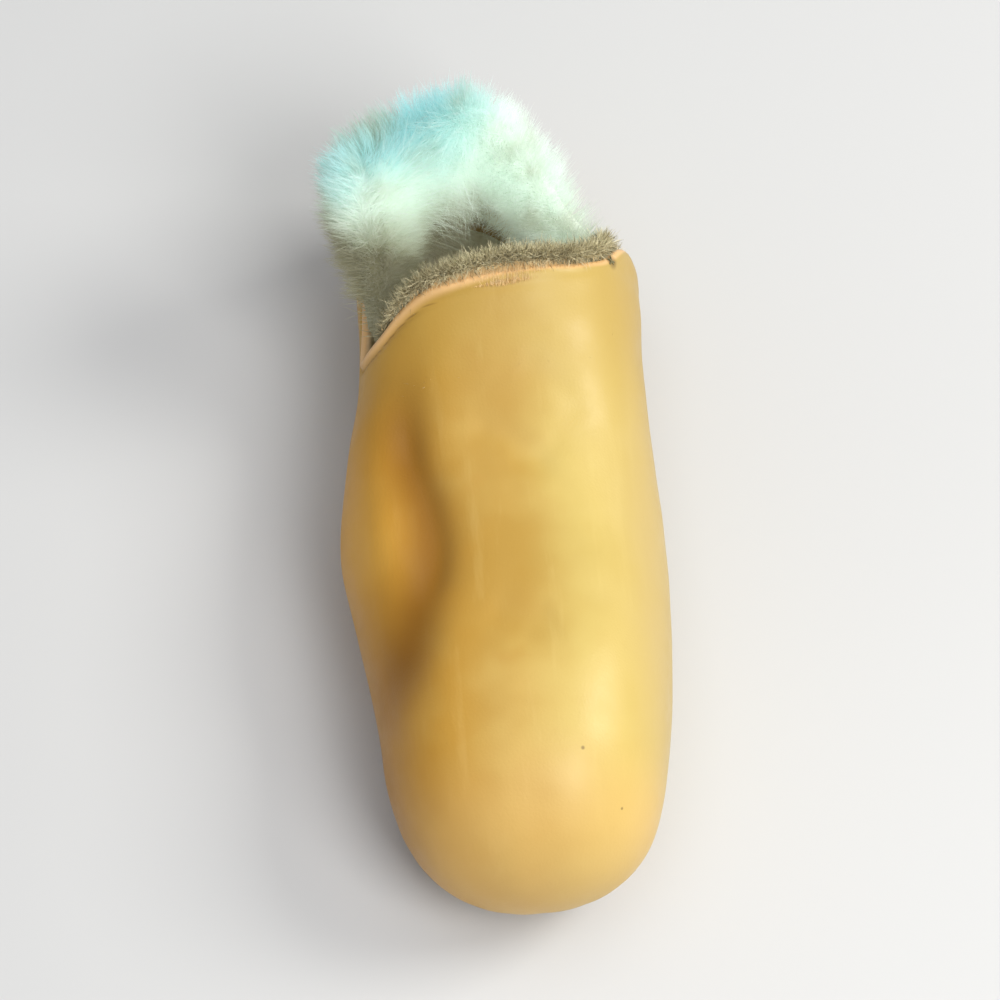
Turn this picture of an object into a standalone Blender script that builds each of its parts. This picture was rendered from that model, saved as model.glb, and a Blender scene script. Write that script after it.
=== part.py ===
"""Baby moccasin for the right foot: a soft leather bag on a soft sole, with a deep wool cuff.

Metres, +Z up, toe towards -Y, inner side of the foot towards +X.
The leather runs from the sole seam out to its widest line and back over the vamp to the collar.
"""

import math

import bmesh
import bpy
import numpy as np
from mathutils import Vector

# Main sizes of the leather bag
LENGTH = 0.1280
BALL_WIDTH = 0.0514
VAMP_HEIGHT = 0.0365
THROAT_HEIGHT = 0.0400
HEEL_HEIGHT = 0.0300
BULGE_HEIGHT = 0.0155
LEATHER = 0.0016
CLEARANCE = 0.0003

# Sole, an hourglass that is shorter and narrower than the bag above it
SOLE_LENGTH = 0.1128
SOLE_BALL_WIDTH = 0.0375
SOLE_HEEL_SETBACK = 0.0055
SOLE_THICKNESS = 0.0022
SIDE_RISE = 0.0026
TOE_LIFT = 0.0046
HEEL_LIFT = 0.0040
ARCH_LIFT = 0.0014

# Insole of short wool
INSOLE_THICKNESS = 0.0030
INSOLE_MARGIN = 0.0028

# Wool lining of the collar, which stands up as a deep cuff round the heel
CUFF_HEIGHT = 0.0210
CUFF_LEAN = 0.0075
CUFF_PILE = 0.0050
CUFF_DEPTH = 0.0215
CUFF_OVER_EDGE = 0.00065
LOCK_LENGTH = 0.0022

# Drawcord that gathers the toe
CORD_DIAMETER = 0.0033
CORD_HOLE = 0.0047

# Shapes of the round ends, as shares of the length
HEEL_ROUND = 0.19
TOE_ROUND = 0.20
TOE_POWER = 2.2
SOLE_HEEL_ROUND = 0.12
SOLE_TOE_ROUND = 0.17

# How the leather's section rounds over: higher is squarer
ACROSS_POWER = 2.4
CROWN_POWER = 2.2

# Insets of the collar's edge from the widest line
CORNER_INSET = 0.0006
HEEL_INSET = 0.0042

HALF_AROUND = 42
LOWER_ROWS = 5
UPPER_ROWS = 10
CUFF_REAR = 50
CUFF_FRONT = 26

# Leather bag: half widths in half ball widths, crest in vamp heights, widest line in bulge heights
BAG = {
    "share":   [0.00, 0.07, 0.13, 0.17, 0.22, 0.30, 0.41, 0.54, 0.64, 0.75, 0.85, 1.00],
    "bend":    [-0.112, -0.092, -0.052, -0.022, 0.008, 0.038, 0.038, 0.038, 0.038, 0.038, 0.038, 0.038],
    "medial":  [0.62, 0.66, 0.75, 0.975, 0.975, 0.93, 0.94, 0.965, 0.955, 0.915, 0.855, 0.91],
    "lateral": [0.68, 0.71, 0.75, 0.77, 0.80, 0.85, 0.96, 1.04, 0.97, 0.89, 0.86, 0.87],
    "crest":   [1.00, 1.02, 1.06, 1.09, 1.08, 0.98, 0.88, 0.885, 0.95, 1.00, 0.99, 0.93],
    "bulge":   [1.05, 1.05, 1.05, 1.05, 1.04, 1.02, 1.00, 1.00, 1.00, 1.00, 0.97, 0.88],
}

# Throat edge: shares of the length from its inner corner across to its outer corner
THROAT = {
    "across": [0.00, 0.07, 0.18, 0.33, 0.48, 0.63, 0.78, 0.86, 0.93, 1.00],
    "share":  [0.168, 0.203, 0.223, 0.231, 0.235, 0.242, 0.250, 0.262, 0.277, 0.287],
}

# Sole: half widths in half sole ball widths
SOLE = {
    "share":   [0.00, 0.10, 0.20, 0.31, 0.42, 0.52, 0.62, 0.72, 0.82, 1.00],
    "medial":  [0.74, 0.71, 0.67, 0.62, 0.56, 0.58, 0.74, 0.87, 0.92, 0.92],
    "lateral": [0.70, 0.70, 0.62, 0.50, 0.62, 0.82, 1.00, 1.07, 1.07, 1.02],
}
SOLE_RINGS = (1.0, 0.88, 0.74, 0.55)
FLAT_ACROSS = 0.55
HEEL_FLAT_FROM = 0.10
HEEL_FLAT_TO = 0.20
BALL_FLAT_FROM = 0.62
BALL_FLAT_TO = 0.84

# Wool lining by its place: from 0 at the inner corner round the heel to 1 at the outer corner,
# and below 0 across the throat from the inner corner at 0 to the outer corner at -1
CUFF = {
    "around": [-1.00, -0.85, -0.50, -0.15, 0.00, 0.10, 0.22, 0.32,
               0.40, 0.47, 0.54, 0.62, 0.70, 0.80, 0.90, 1.00],
    "high":   [0.12, 0.12, 0.14, 0.12, 0.11, 0.32, 0.52, 0.70, 0.86, 0.78, 0.62, 0.68, 0.94, 0.90, 0.50, 0.12],
    "lean":   [-0.46, -0.06, 0.00, 0.00, -0.24, 0.30, 0.44, 0.32, 0.18, 0.18, 0.35, 0.75, 1.00, 0.85, 0.36, -0.46],
    "pile":   [0.50, 0.50, 0.55, 0.50, 0.50, 0.60, 0.75, 0.90, 1.00, 1.00, 1.00, 1.00, 1.00, 0.95, 0.75, 0.50],
    "deep":   [0.50, 0.60, 0.70, 0.60, 0.50, 0.65, 0.85, 0.95, 1.00, 1.00, 1.00, 1.00, 0.95, 0.85, 0.65, 0.50],
    "gap":    [4.00, 1.80, 1.70, 2.40, 5.20, 2.60, 1.60, 1.60, 2.00, 2.60, 2.60, 2.20, 1.80, 1.60, 2.40, 4.00],
    "lock":   [0.00, 0.12, 0.15, 0.12, 0.00, 0.50, 0.80, 0.95, 1.00, 1.00, 1.00, 1.00, 1.00, 0.90, 0.50, 0.00],
}

# Drawcord from its middle inside the toe to each free end: across, in front of the seam, height
CORD_ROUTE = {
    "across": [0.0000, 0.0030, 0.0052, 0.0066, 0.0087, 0.0116, 0.0143],
    "front":  [0.0020, 0.0022, 0.0027, 0.0030, 0.0024, 0.0002, -0.0032],
    "height": [0.0122, 0.0119, 0.0103, 0.0072, 0.0046, 0.0028, 0.0020],
}
HOLE_ROW = 3

# Pleats of the gathered toe and heel: place along the edge from the toe tip or the heel tip,
# in ball widths with the outer side negative, half width and depth in metres
PLEATS = {
    "end":        ["toe"] * 9 + ["heel"] * 3,
    "place":      [-0.56, -0.46, -0.37, -0.20, -0.09, 0.015, 0.145, 0.26, 0.38, -0.34, -0.22, -0.08],
    "half_width": [0.0018, 0.0018, 0.0018, 0.0020, 0.0021, 0.0020, 0.0020, 0.0021, 0.0022,
                   0.0022, 0.0022, 0.0024],
    "depth":      [0.0006, 0.0008, 0.0007, 0.0007, 0.0013, 0.0013, 0.0012, 0.0008, 0.0005,
                   0.0009, 0.0010, 0.0006],
}
PLEAT_ROOM = 0.0006


def eased(table, column, share):
    """A column of a table at any place, on a smooth curve through its rows."""
    at = np.array(next(iter(table.values())))
    value = np.array(table[column])
    slope = np.gradient(value, at)
    share = np.clip(share, at[0], at[-1])
    i = np.clip(np.searchsorted(at, share, side="right") - 1, 0, len(at) - 2)
    span = at[i + 1] - at[i]
    t = (share - at[i]) / span
    return (
        (2 * t**3 - 3 * t**2 + 1) * value[i]
        + (t**3 - 2 * t**2 + t) * span * slope[i]
        + (3 * t**2 - 2 * t**3) * value[i + 1]
        + (t**3 - t**2) * span * slope[i + 1]
    )


def ramp(value, start, end):
    """0 before start and 1 after end, straight between them."""
    return np.clip((value - start) / (end - start), 0.0, 1.0)


def rounding(share, heel_round, toe_round):
    """0 at both tips and 1 between the round ends."""
    back = 1 - ramp(share, 0.0, heel_round)
    front = ramp(share, 1 - toe_round, 1.0)
    return np.sqrt(1 - back**2) * (1 - front**TOE_POWER) ** (1 / TOE_POWER)


def bag_y(share):
    return LENGTH / 2 - share * LENGTH


def bag_middle(share):
    """Where the middle of the outline lies: it bends to the outer side at the heel."""
    return BALL_WIDTH / 2 * eased(BAG, "bend", share)


def bag_half_width(share, side):
    column = "medial" if side > 0 else "lateral"
    return BALL_WIDTH / 2 * eased(BAG, column, share) * rounding(share, HEEL_ROUND, TOE_ROUND)


def bulge_z(share):
    return BULGE_HEIGHT * eased(BAG, "bulge", share)


def crown_z(x, share):
    """Height of the leather over a point inside the outline, all the way from toe to heel."""
    off = x - bag_middle(share)
    width = np.where(off > 0, bag_half_width(share, 1), bag_half_width(share, -1))
    across = np.clip(np.abs(off) / np.maximum(width, 1e-6), 0, 1)
    side = bulge_z(share)
    crest = VAMP_HEIGHT * eased(BAG, "crest", share)
    crest = crest + (THROAT_HEIGHT - 1.1 * VAMP_HEIGHT) * (1 - ramp(share, 0.20, 0.40))
    rise = (crest - side) * rounding(share, HEEL_ROUND, TOE_ROUND)
    return side + rise * (1 - across**ACROSS_POWER) ** (1 / CROWN_POWER)


def sole_y(share):
    return LENGTH / 2 - SOLE_HEEL_SETBACK - share * SOLE_LENGTH


def sole_half_width(share, side):
    column = "medial" if side > 0 else "lateral"
    return SOLE_BALL_WIDTH / 2 * eased(SOLE, column, share) * rounding(share, SOLE_HEEL_ROUND, SOLE_TOE_ROUND)


def sole_z(share, across):
    """Height of the sole's underside: flat at heel and ball, with an arch and a rising edge."""
    arch = ramp(share, HEEL_FLAT_TO, 0.36) * (1 - ramp(share, 0.46, BALL_FLAT_FROM))
    back = 1 - ramp(share, 0.0, HEEL_FLAT_FROM)
    front = ramp(share, BALL_FLAT_TO, 1.0)
    edge = ramp(np.abs(across), FLAT_ACROSS, 1.0) ** 2
    ends = HEEL_LIFT * back**2 + TOE_LIFT * front**2
    return ARCH_LIFT * arch + SIDE_RISE * edge * (1 - back**2) * (1 - front**2) + ends


def sole_middle(share):
    return BALL_WIDTH / 2 * eased(BAG, "bend", share)


def edge_loop(y_of, middle, half_width, count=1200):
    """Plan outline from the heel tip along +X to the toe tip and back, with its length so far."""
    turn = np.linspace(0, 2 * math.pi, count, endpoint=False)
    share = 0.5 - 0.5 * np.cos(turn)
    x = middle(share) + np.where(turn <= math.pi, half_width(share, 1), -half_width(share, -1))
    points = np.stack([x, y_of(share)], axis=1)
    steps = np.linalg.norm(np.roll(points, -1, axis=0) - points, axis=1)
    along = np.concatenate([[0], np.cumsum(steps)])
    half = along[count // 2]
    return {"points": points, "share": share, "along": along[:-1], "total": along[-1], "toe": half}


def at_length(loop, along):
    """Points of an outline, and their shares of its length, at distances from the heel tip."""
    stops = np.append(loop["along"], loop["total"])
    closed = np.vstack([loop["points"], loop["points"][:1]])
    share = np.append(loop["share"], loop["share"][0])
    where = np.mod(along, loop["total"])
    x = np.interp(where, stops, closed[:, 0])
    y = np.interp(where, stops, closed[:, 1])
    return np.stack([x, y], axis=1), np.interp(where, stops, share)


def places_around(loop, half_count):
    """Distances round the bag's outline, closer together at the gathered toe, as many on each side."""
    sides = []
    for first, last in ((0.0, loop["toe"]), (loop["toe"], loop["total"])):
        fine = np.linspace(first, last, 2000)
        density = 1 + 2.0 * np.exp(-((np.abs(fine - loop["toe"]) / (0.72 * BALL_WIDTH)) ** 4))
        grown = np.concatenate([[0], np.cumsum((density[1:] + density[:-1]) / 2)])
        sides.append(np.interp(np.linspace(0, grown[-1], half_count, endpoint=False), grown, fine))
    along = np.concatenate(sides)
    for corner in (corner_along(loop, THROAT["share"][0], 1), corner_along(loop, THROAT["share"][-1], -1)):
        along[np.argmin(np.abs(along - corner))] = corner
    return along


def matching_sole_edge(bag, sole, along):
    """Seam point for each place of the bag: the same share of its own side, heel tip to toe tip."""
    first = along / bag["toe"] * sole["toe"]
    rest = (along - bag["toe"]) / (bag["total"] - bag["toe"]) * (sole["total"] - sole["toe"])
    return at_length(sole, np.where(along <= bag["toe"], first, sole["toe"] + rest))


def corner_along(bag, share, side):
    """Distance round the outline at which a side of it reaches this share of the length."""
    half = len(bag["share"]) // 2
    if side > 0:
        return float(np.interp(share, bag["share"][: half + 1], bag["along"][: half + 1]))
    return float(np.interp(-share, -bag["share"][half:], bag["along"][half:]))


def throat_across(go):
    """Share of the way across the throat for a share of the way round the toe."""
    return 0.45 * go + 0.55 * (0.5 - 0.5 * np.cos(math.pi * go))


def collar_line(bag, along, points):
    """Plan place of the collar's edge for each place, how far it is behind, and its height there."""
    start = corner_along(bag, THROAT["share"][0], 1)
    end = corner_along(bag, THROAT["share"][-1], -1)
    inner, outer = THROAT["share"][0], THROAT["share"][-1]
    right = bag_middle(inner) + bag_half_width(inner, 1) - CORNER_INSET
    left = bag_middle(outer) - bag_half_width(outer, -1) + CORNER_INSET
    inward = np.array([bag_middle(0.10), bag_y(0.20)]) - points
    inward /= np.linalg.norm(inward, axis=1)[:, None]
    forward = np.where(along < start, along / start, (bag["total"] - along) / (bag["total"] - end))
    behind = np.cos(np.clip(forward, 0, 1) * math.pi / 2)
    inset = CORNER_INSET + (HEEL_INSET - CORNER_INSET) * behind
    rear = points + inward * inset[:, None]
    across = throat_across(ramp(along, start, end))
    share = eased(THROAT, "share", across)
    front = np.stack([right + (left - right) * across, bag_y(share)], axis=1)
    in_front = (along >= start) & (along <= end)
    plan = np.where(in_front[:, None], front, rear)
    medial = crown_z(right, inner)
    lateral = crown_z(left, outer)
    corner = np.where(along < start, medial, lateral)
    over = crown_z(plan[:, 0], (LENGTH / 2 - plan[:, 1]) / LENGTH)
    height = np.where(in_front, over, corner + (HEEL_HEIGHT - corner) * behind**1.5)
    return plan, height


def pleat_depth(bag, along):
    """How far each place of the gathered edge is drawn in."""
    depth = np.zeros(len(along))
    for end, place, half_width, most in zip(*(PLEATS[k] for k in ("end", "place", "half_width", "depth"))):
        middle = bag["toe"] if end == "toe" else 0.0
        away = along - middle + place * BALL_WIDTH
        away = (away + bag["total"] / 2) % bag["total"] - bag["total"] / 2
        depth += most * np.exp(-((away / half_width) ** 2) * 2)
    return depth


def upper_surface(bag, along, lower_rows, upper_rows):
    """Outer surface of the leather as rows from seam to collar, and the pleats' depth at each point."""
    sole = edge_loop(sole_y, sole_middle, sole_half_width)
    wide, share = at_length(bag, along)
    seam, seam_share = matching_sole_edge(bag, sole, along)
    seam_z = sole_z(seam_share, 1.0)
    wide_z = bulge_z(share)
    collar, collar_z = collar_line(bag, along, wide)
    over = crown_z(collar[:, 0], (LENGTH / 2 - collar[:, 1]) / LENGTH)
    out = wide - seam
    reach = np.linalg.norm(out, axis=1)
    rows = []
    for t in np.linspace(0, 1, lower_rows + 1):
        first = (1 - t) ** 3
        second = 3 * t * (1 - t) ** 2
        third = 3 * t**2 * (1 - t)
        last = t**3
        plan = seam + out * (0.45 * second + third + last)
        z = first * seam_z + second * (seam_z + 0.2 * reach)
        z = z + third * (wide_z - 0.55 * (wide_z - seam_z)) + last * wide_z
        rows.append(np.column_stack([plan, z]))
    for t in np.linspace(0, 1, upper_rows + 1)[1:]:
        plan = wide + (collar - wide) * t**2
        z = crown_z(plan[:, 0], (LENGTH / 2 - plan[:, 1]) / LENGTH)
        z = wide_z + (z - wide_z) * (collar_z - wide_z) / (over - wide_z)
        rows.append(np.column_stack([plan, z]))
    grid = np.array(rows)
    level = np.arange(len(rows)) / lower_rows
    fade = np.cos(np.clip(level / 1.2, 0, 1) * math.pi / 2) ** 1.5
    return grid, fade[:, None] * pleat_depth(bag, along)[None, :]


def ring_faces(rows, around):
    """Quads of a band of rows that closes on itself, facing out when rows climb."""
    faces = []
    for i in range(rows - 1):
        for j in range(around):
            k = (j + 1) % around
            faces.append((i * around + j, (i + 1) * around + j, (i + 1) * around + k, i * around + k))
    return faces


def point_normals(points, faces):
    """Normal of each point, from the faces round it weighted by their area."""
    normals = np.zeros_like(points)
    for face in faces:
        corners = points[list(face)]
        normal = np.cross(corners[2] - corners[0], corners[-1] - corners[1])
        for index in face:
            normals[index] += normal
    return normals / np.linalg.norm(normals, axis=1)[:, None]


def seam_upright(normals, count):
    """Normals of the leather with those along the seam turned down, so that its edge stands clear."""
    normals[:count] = (0.0, 0.0, -1.0)
    normals[count : 2 * count] += (0.0, 0.0, -0.8)
    normals[count : 2 * count] /= np.linalg.norm(normals[count : 2 * count], axis=1)[:, None]
    return normals


def closed_shell(outer, inner, faces):
    """Points and faces of a wall between two sheets with the same faces."""
    count = len(outer)
    edges = {(a, b) for face in faces for a, b in zip(face, face[1:] + face[:1])}
    walls = list(faces)
    walls += [tuple(count + i for i in reversed(face)) for face in faces]
    walls += [(b, a, count + a, count + b) for a, b in sorted(edges) if (b, a) not in edges]
    return np.vstack([outer, inner]), walls


def plain_material(name, colour, roughness):
    material = bpy.data.materials.new(name)
    material.use_nodes = True
    shader = material.node_tree.nodes["Principled BSDF"]
    shader.inputs["Base Color"].default_value = (*colour, 1.0)
    shader.inputs["Roughness"].default_value = roughness
    shader.inputs["Metallic"].default_value = 0.0
    return material


def add_solid(name, points, faces, material):
    """One named object, smooth where the form is and sharp at its edges."""
    mesh = bpy.data.meshes.new(name)
    mesh.from_pydata([tuple(p) for p in points], [], faces)
    mesh.shade_smooth()
    mesh.set_sharp_from_angle(angle=math.radians(50))
    mesh.materials.append(material)
    solid = bpy.data.objects.new(name, mesh)
    bpy.context.scene.collection.objects.link(solid)
    return solid


def make_upper(bag, material):
    along = places_around(bag, HALF_AROUND)
    grid, pleats = upper_surface(bag, along, LOWER_ROWS, UPPER_ROWS)
    smooth = grid.reshape(-1, 3)
    faces = ring_faces(grid.shape[0], len(along))
    normals = seam_upright(point_normals(smooth, faces), len(along))
    drawn_in = pleats.reshape(-1, 1)
    room = PLEAT_ROOM * drawn_in / max(PLEATS["depth"])
    outer = smooth - normals * drawn_in
    inner = smooth - normals * (LEATHER + room)
    return add_solid("upper", *closed_shell(outer, inner, faces), material)


def sole_sheet(bag, margin, lift):
    """A sheet over the sole's plan with a margin inside its edge, as faces that face down."""
    along = places_around(bag, HALF_AROUND)
    sole = edge_loop(sole_y, sole_middle, sole_half_width)
    edge, share = matching_sole_edge(bag, sole, along)
    count = len(along)
    spine_share = np.clip(share, 0.14, 0.82)
    spine = np.stack([sole_middle(spine_share), sole_y(spine_share)], axis=1)
    reach = np.linalg.norm(edge - spine, axis=1)
    points = []
    for ring in SOLE_RINGS:
        kept = ring * (1 - margin / reach)
        plan = spine + (edge - spine) * kept[:, None]
        at = (LENGTH / 2 - SOLE_HEEL_SETBACK - plan[:, 1]) / SOLE_LENGTH
        points.append(np.column_stack([plan, sole_z(np.clip(at, 0, 1), kept) + lift]))
    points = np.concatenate(points)
    faces = [tuple(reversed(face)) for face in ring_faces(len(SOLE_RINGS), count)]
    last = (len(SOLE_RINGS) - 1) * count
    faces.append((last, last + 1, last + count - 1))
    for j in range(1, count // 2 - 1):
        faces.append((last + j, last + j + 1, last + count - j - 1, last + count - j))
    j = count // 2 - 1
    faces.append((last + j, last + j + 1, last + j + 2))
    return points, faces


def make_sole(bag, material):
    under, faces = sole_sheet(bag, CLEARANCE, 0.0)
    top = under - point_normals(under, faces) * SOLE_THICKNESS
    add_solid("sole", *closed_shell(under, top, faces), material)


def make_insole(bag, material):
    under, faces = sole_sheet(bag, INSOLE_MARGIN, SOLE_THICKNESS * 1.2 + CLEARANCE)
    top = under + np.array([0.0, 0.0, INSOLE_THICKNESS])
    add_solid("insole", *closed_shell(under, top, faces), material)


def cuff_places(bag):
    """Places of the cuff: round the heel from the outer corner, then across the throat back to it."""
    start = corner_along(bag, THROAT["share"][0], 1)
    end = corner_along(bag, THROAT["share"][-1], -1)
    behind = start + bag["total"] - end
    rear = np.arange(CUFF_REAR) / CUFF_REAR
    turn = np.linspace(0, 1, 600)
    go = np.interp(np.arange(CUFF_FRONT) / CUFF_FRONT, throat_across(turn), turn)
    along = np.concatenate([end + rear * behind, start + go * (end - start)])
    around = np.concatenate([1 - rear, -go])
    return np.mod(along, bag["total"]), around


def make_cuff(bag, material):
    along, around = cuff_places(bag)
    count = len(along)
    fine_rows = 48
    grid = upper_surface(bag, along, LOWER_ROWS, fine_rows)[0]
    faces = ring_faces(grid.shape[0], count)
    normals = point_normals(grid.reshape(-1, 3), faces).reshape(grid.shape)
    from_edge = np.linalg.norm(np.diff(grid, axis=0), axis=2)[::-1]
    from_edge = np.vstack([np.zeros(count), np.cumsum(from_edge, axis=0)])

    def on_leather(depth, inward):
        """Points at a depth below the collar's edge, this far inside the leather's outer face."""
        found = np.zeros((count, 3))
        for j in range(count):
            for axis in range(3):
                line = grid[::-1, j, axis] - normals[::-1, j, axis] * inward[j]
                found[j, axis] = np.interp(depth[j], from_edge[:, j], line)
        return found

    edge = grid[-1]
    out = normals[-1]
    on = edge - grid[-3]
    on /= np.linalg.norm(on, axis=1)[:, None]
    rear = np.where(around > 0, np.sin(np.clip(around, 0, 1) * math.pi) ** 0.6, 0.0)[:, None]
    flat = out * np.array([1.0, 1.0, 0.0])
    flat /= np.linalg.norm(flat, axis=1)[:, None]
    side = (1 - rear) * out + rear * flat
    side /= np.linalg.norm(side, axis=1)[:, None]
    rise = (1 - rear) * on + rear * np.array([0.0, 0.0, 1.0])
    rise /= np.linalg.norm(rise, axis=1)[:, None]
    high = CUFF_HEIGHT * eased(CUFF, "high", around)
    lean = CUFF_LEAN * eased(CUFF, "lean", around)
    pile = CUFF_PILE * eased(CUFF, "pile", around)
    deep = CUFF_DEPTH * eased(CUFF, "deep", around)
    gap = eased(CUFF, "gap", around)
    inside = LEATHER + CLEARANCE * gap
    over = CUFF_OVER_EDGE * gap**0.5

    def above(outward, upward):
        return edge + side * np.reshape(outward, (-1, 1)) + rise * np.reshape(upward, (-1, 1))

    low_rim = on_leather(np.zeros(count), inside) + on * over[:, None]
    sections = [
        on_leather(deep, inside),
        on_leather(deep * 0.66, inside),
        on_leather(deep * 0.30, inside),
        low_rim,
        above(np.where(lean < 0, lean, lean * 0.35), over + high * 0.04),
        above(np.where(lean < 0, lean, lean * 0.75), over + high * 0.28),
        above(lean * 1.00, over + high * 0.58),
        above(lean * 1.00, over + high * 0.84),
        above(lean * 0.75 - pile * 0.25, over + high * 1.00),
        above(lean * 0.40 - pile * 0.80, over + high * 0.86),
        above(lean * 0.10 - pile * 1.10, over + high * 0.55),
        above(-LEATHER - pile * 1.05, over + high * 0.22),
        on_leather(deep * 0.22, inside + pile),
        on_leather(deep * 0.62, inside + pile * 0.9),
        on_leather(deep, inside + pile * 0.6),
    ]
    ring = np.array(sections)
    rows = len(sections)
    faces = []
    for i in range(rows):
        below = (i + 1) % rows
        for j in range(count):
            k = (j + 1) % count
            faces.append((i * count + j, below * count + j, below * count + k, i * count + k))
    points = ring.reshape(-1, 3)
    normals = point_normals(points, faces).reshape(ring.shape)
    level = np.arange(rows)[:, None]
    place = np.arange(count)[None, :]
    woolly = ((level >= 5) & (level <= 11)) * (((level + place) % 2) * 1.0 - 0.35)
    size = LOCK_LENGTH * eased(CUFF, "lock", around)[None, :]
    ring = ring + normals * (woolly * size)[:, :, None]
    add_solid("wool_cuff", ring.reshape(-1, 3), faces, material)


def cord_route(side):
    """Route of one half of the cord, from the middle outwards, to the inner or the outer side."""
    toe_y = sole_y(1.0)
    across = sole_middle(1.0) + side * np.array(CORD_ROUTE["across"])
    return np.column_stack([across, toe_y - np.array(CORD_ROUTE["front"]), CORD_ROUTE["height"]])


def smooth_route(route, spacing):
    """Evenly spread points of a smooth curve through a route's own points."""
    steps = np.linalg.norm(np.diff(route, axis=0), axis=1)
    at = np.concatenate([[0], np.cumsum(steps)])
    slope = np.gradient(route, at, axis=0)
    points = []
    for s in np.linspace(0, at[-1], int(round(at[-1] / spacing)) + 1):
        i = min(int(np.searchsorted(at, s, side="right")) - 1, len(at) - 2)
        span = at[i + 1] - at[i]
        t = (s - at[i]) / span
        points.append(
            (2 * t**3 - 3 * t**2 + 1) * route[i]
            + (t**3 - 2 * t**2 + t) * span * slope[i]
            + (3 * t**2 - 2 * t**3) * route[i + 1]
            + (t**3 - t**2) * span * slope[i + 1]
        )
    return points


def make_cord(material):
    """One cord across the inside of the toe, out through a hole on each side to a free end."""
    route = np.vstack([cord_route(-1)[:0:-1], cord_route(1)])
    points = smooth_route(route, CORD_DIAMETER * 0.6)
    curve = bpy.data.curves.new("draw_cord", "CURVE")
    curve.dimensions = "3D"
    curve.bevel_depth = CORD_DIAMETER / 2
    curve.bevel_resolution = 2
    curve.use_fill_caps = True
    spline = curve.splines.new("POLY")
    spline.points.add(len(points) - 1)
    spline.use_smooth = True
    for point, place in zip(spline.points, points):
        point.co = (*place, 1.0)
    curve.materials.append(material)
    cord = bpy.data.objects.new("draw_cord", curve)
    bpy.context.scene.collection.objects.link(cord)


def cut_cord_hole(upper, side):
    """A round hole through the leather where the cord comes out."""
    route = cord_route(side)
    middle = Vector(route[HOLE_ROW])
    axis = Vector(route[HOLE_ROW + 1]) - Vector(route[HOLE_ROW - 1])
    mesh = bpy.data.meshes.new("cord_hole")
    form = bmesh.new()
    bmesh.ops.create_cone(
        form, cap_ends=True, segments=14, radius1=CORD_HOLE / 2, radius2=CORD_HOLE / 2, depth=2.2 * CORD_DIAMETER
    )
    form.to_mesh(mesh)
    form.free()
    cutter = bpy.data.objects.new("cord_hole", mesh)
    bpy.context.scene.collection.objects.link(cutter)
    cutter.location = middle
    cutter.rotation_mode = "QUATERNION"
    cutter.rotation_quaternion = axis.to_track_quat("Z", "Y")
    cutter.hide_render = True
    cutter.display_type = "WIRE"
    hole = upper.modifiers.new("cord_hole", "BOOLEAN")
    hole.operation = "DIFFERENCE"
    hole.solver = "EXACT"
    hole.object = cutter


def main():
    for old in list(bpy.data.objects):
        bpy.data.objects.remove(old)
    bag = edge_loop(bag_y, bag_middle, bag_half_width)
    leather = plain_material("leather", (0.74, 0.47, 0.13), 0.42)
    sole_leather = plain_material("sole_leather", (0.62, 0.40, 0.15), 0.65)
    wool = plain_material("wool", (0.80, 0.86, 0.80), 0.95)
    insole_wool = plain_material("insole_wool", (0.72, 0.72, 0.62), 0.95)
    cord = plain_material("cord", (0.74, 0.60, 0.46), 0.8)
    upper = make_upper(bag, leather)
    cut_cord_hole(upper, 1)
    cut_cord_hole(upper, -1)
    make_sole(bag, sole_leather)
    make_insole(bag, insole_wool)
    make_cuff(bag, wool)
    make_cord(cord)


main()
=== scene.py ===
"""Looks for the baby moccasin: leather, sole, wool, drawcord, stitches, light and camera.

Metres, +Z up, toe towards -Y, inner side of the foot towards +X.
"""

import math

import bpy
import bmesh
import numpy as np
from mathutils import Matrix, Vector


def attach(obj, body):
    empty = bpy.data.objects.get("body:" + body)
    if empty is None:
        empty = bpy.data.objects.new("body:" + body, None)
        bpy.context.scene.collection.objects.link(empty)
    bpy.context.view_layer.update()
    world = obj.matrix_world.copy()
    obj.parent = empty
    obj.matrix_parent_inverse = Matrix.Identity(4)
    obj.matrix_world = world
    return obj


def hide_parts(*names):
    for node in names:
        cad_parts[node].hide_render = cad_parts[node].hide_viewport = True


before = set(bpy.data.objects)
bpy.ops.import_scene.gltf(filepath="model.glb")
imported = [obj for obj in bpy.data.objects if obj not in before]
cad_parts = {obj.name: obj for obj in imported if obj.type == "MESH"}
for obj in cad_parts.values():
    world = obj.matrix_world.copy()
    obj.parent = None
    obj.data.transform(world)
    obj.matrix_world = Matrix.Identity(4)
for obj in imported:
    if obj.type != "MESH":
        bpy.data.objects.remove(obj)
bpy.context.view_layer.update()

# Main sizes of the leather bag
LENGTH = 0.1280
BALL_WIDTH = 0.0514
VAMP_HEIGHT = 0.0365
THROAT_HEIGHT = 0.0400
HEEL_HEIGHT = 0.0300
BULGE_HEIGHT = 0.0155
LEATHER = 0.0016
CLEARANCE = 0.0003

# Sole, an hourglass that is shorter and narrower than the bag above it
SOLE_LENGTH = 0.1128
SOLE_BALL_WIDTH = 0.0375
SOLE_HEEL_SETBACK = 0.0055
SOLE_THICKNESS = 0.0022
SIDE_RISE = 0.0026
TOE_LIFT = 0.0046
HEEL_LIFT = 0.0040
ARCH_LIFT = 0.0014

# Insole of short wool
INSOLE_THICKNESS = 0.0030
INSOLE_MARGIN = 0.0028

# Wool lining of the collar, which stands up as a deep cuff round the heel
CUFF_HEIGHT = 0.0210
CUFF_LEAN = 0.0075
CUFF_PILE = 0.0050
CUFF_DEPTH = 0.0215
CUFF_OVER_EDGE = 0.00065

# Drawcord that gathers the toe
CORD_DIAMETER = 0.0033
CORD_HOLE = 0.0047

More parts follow.
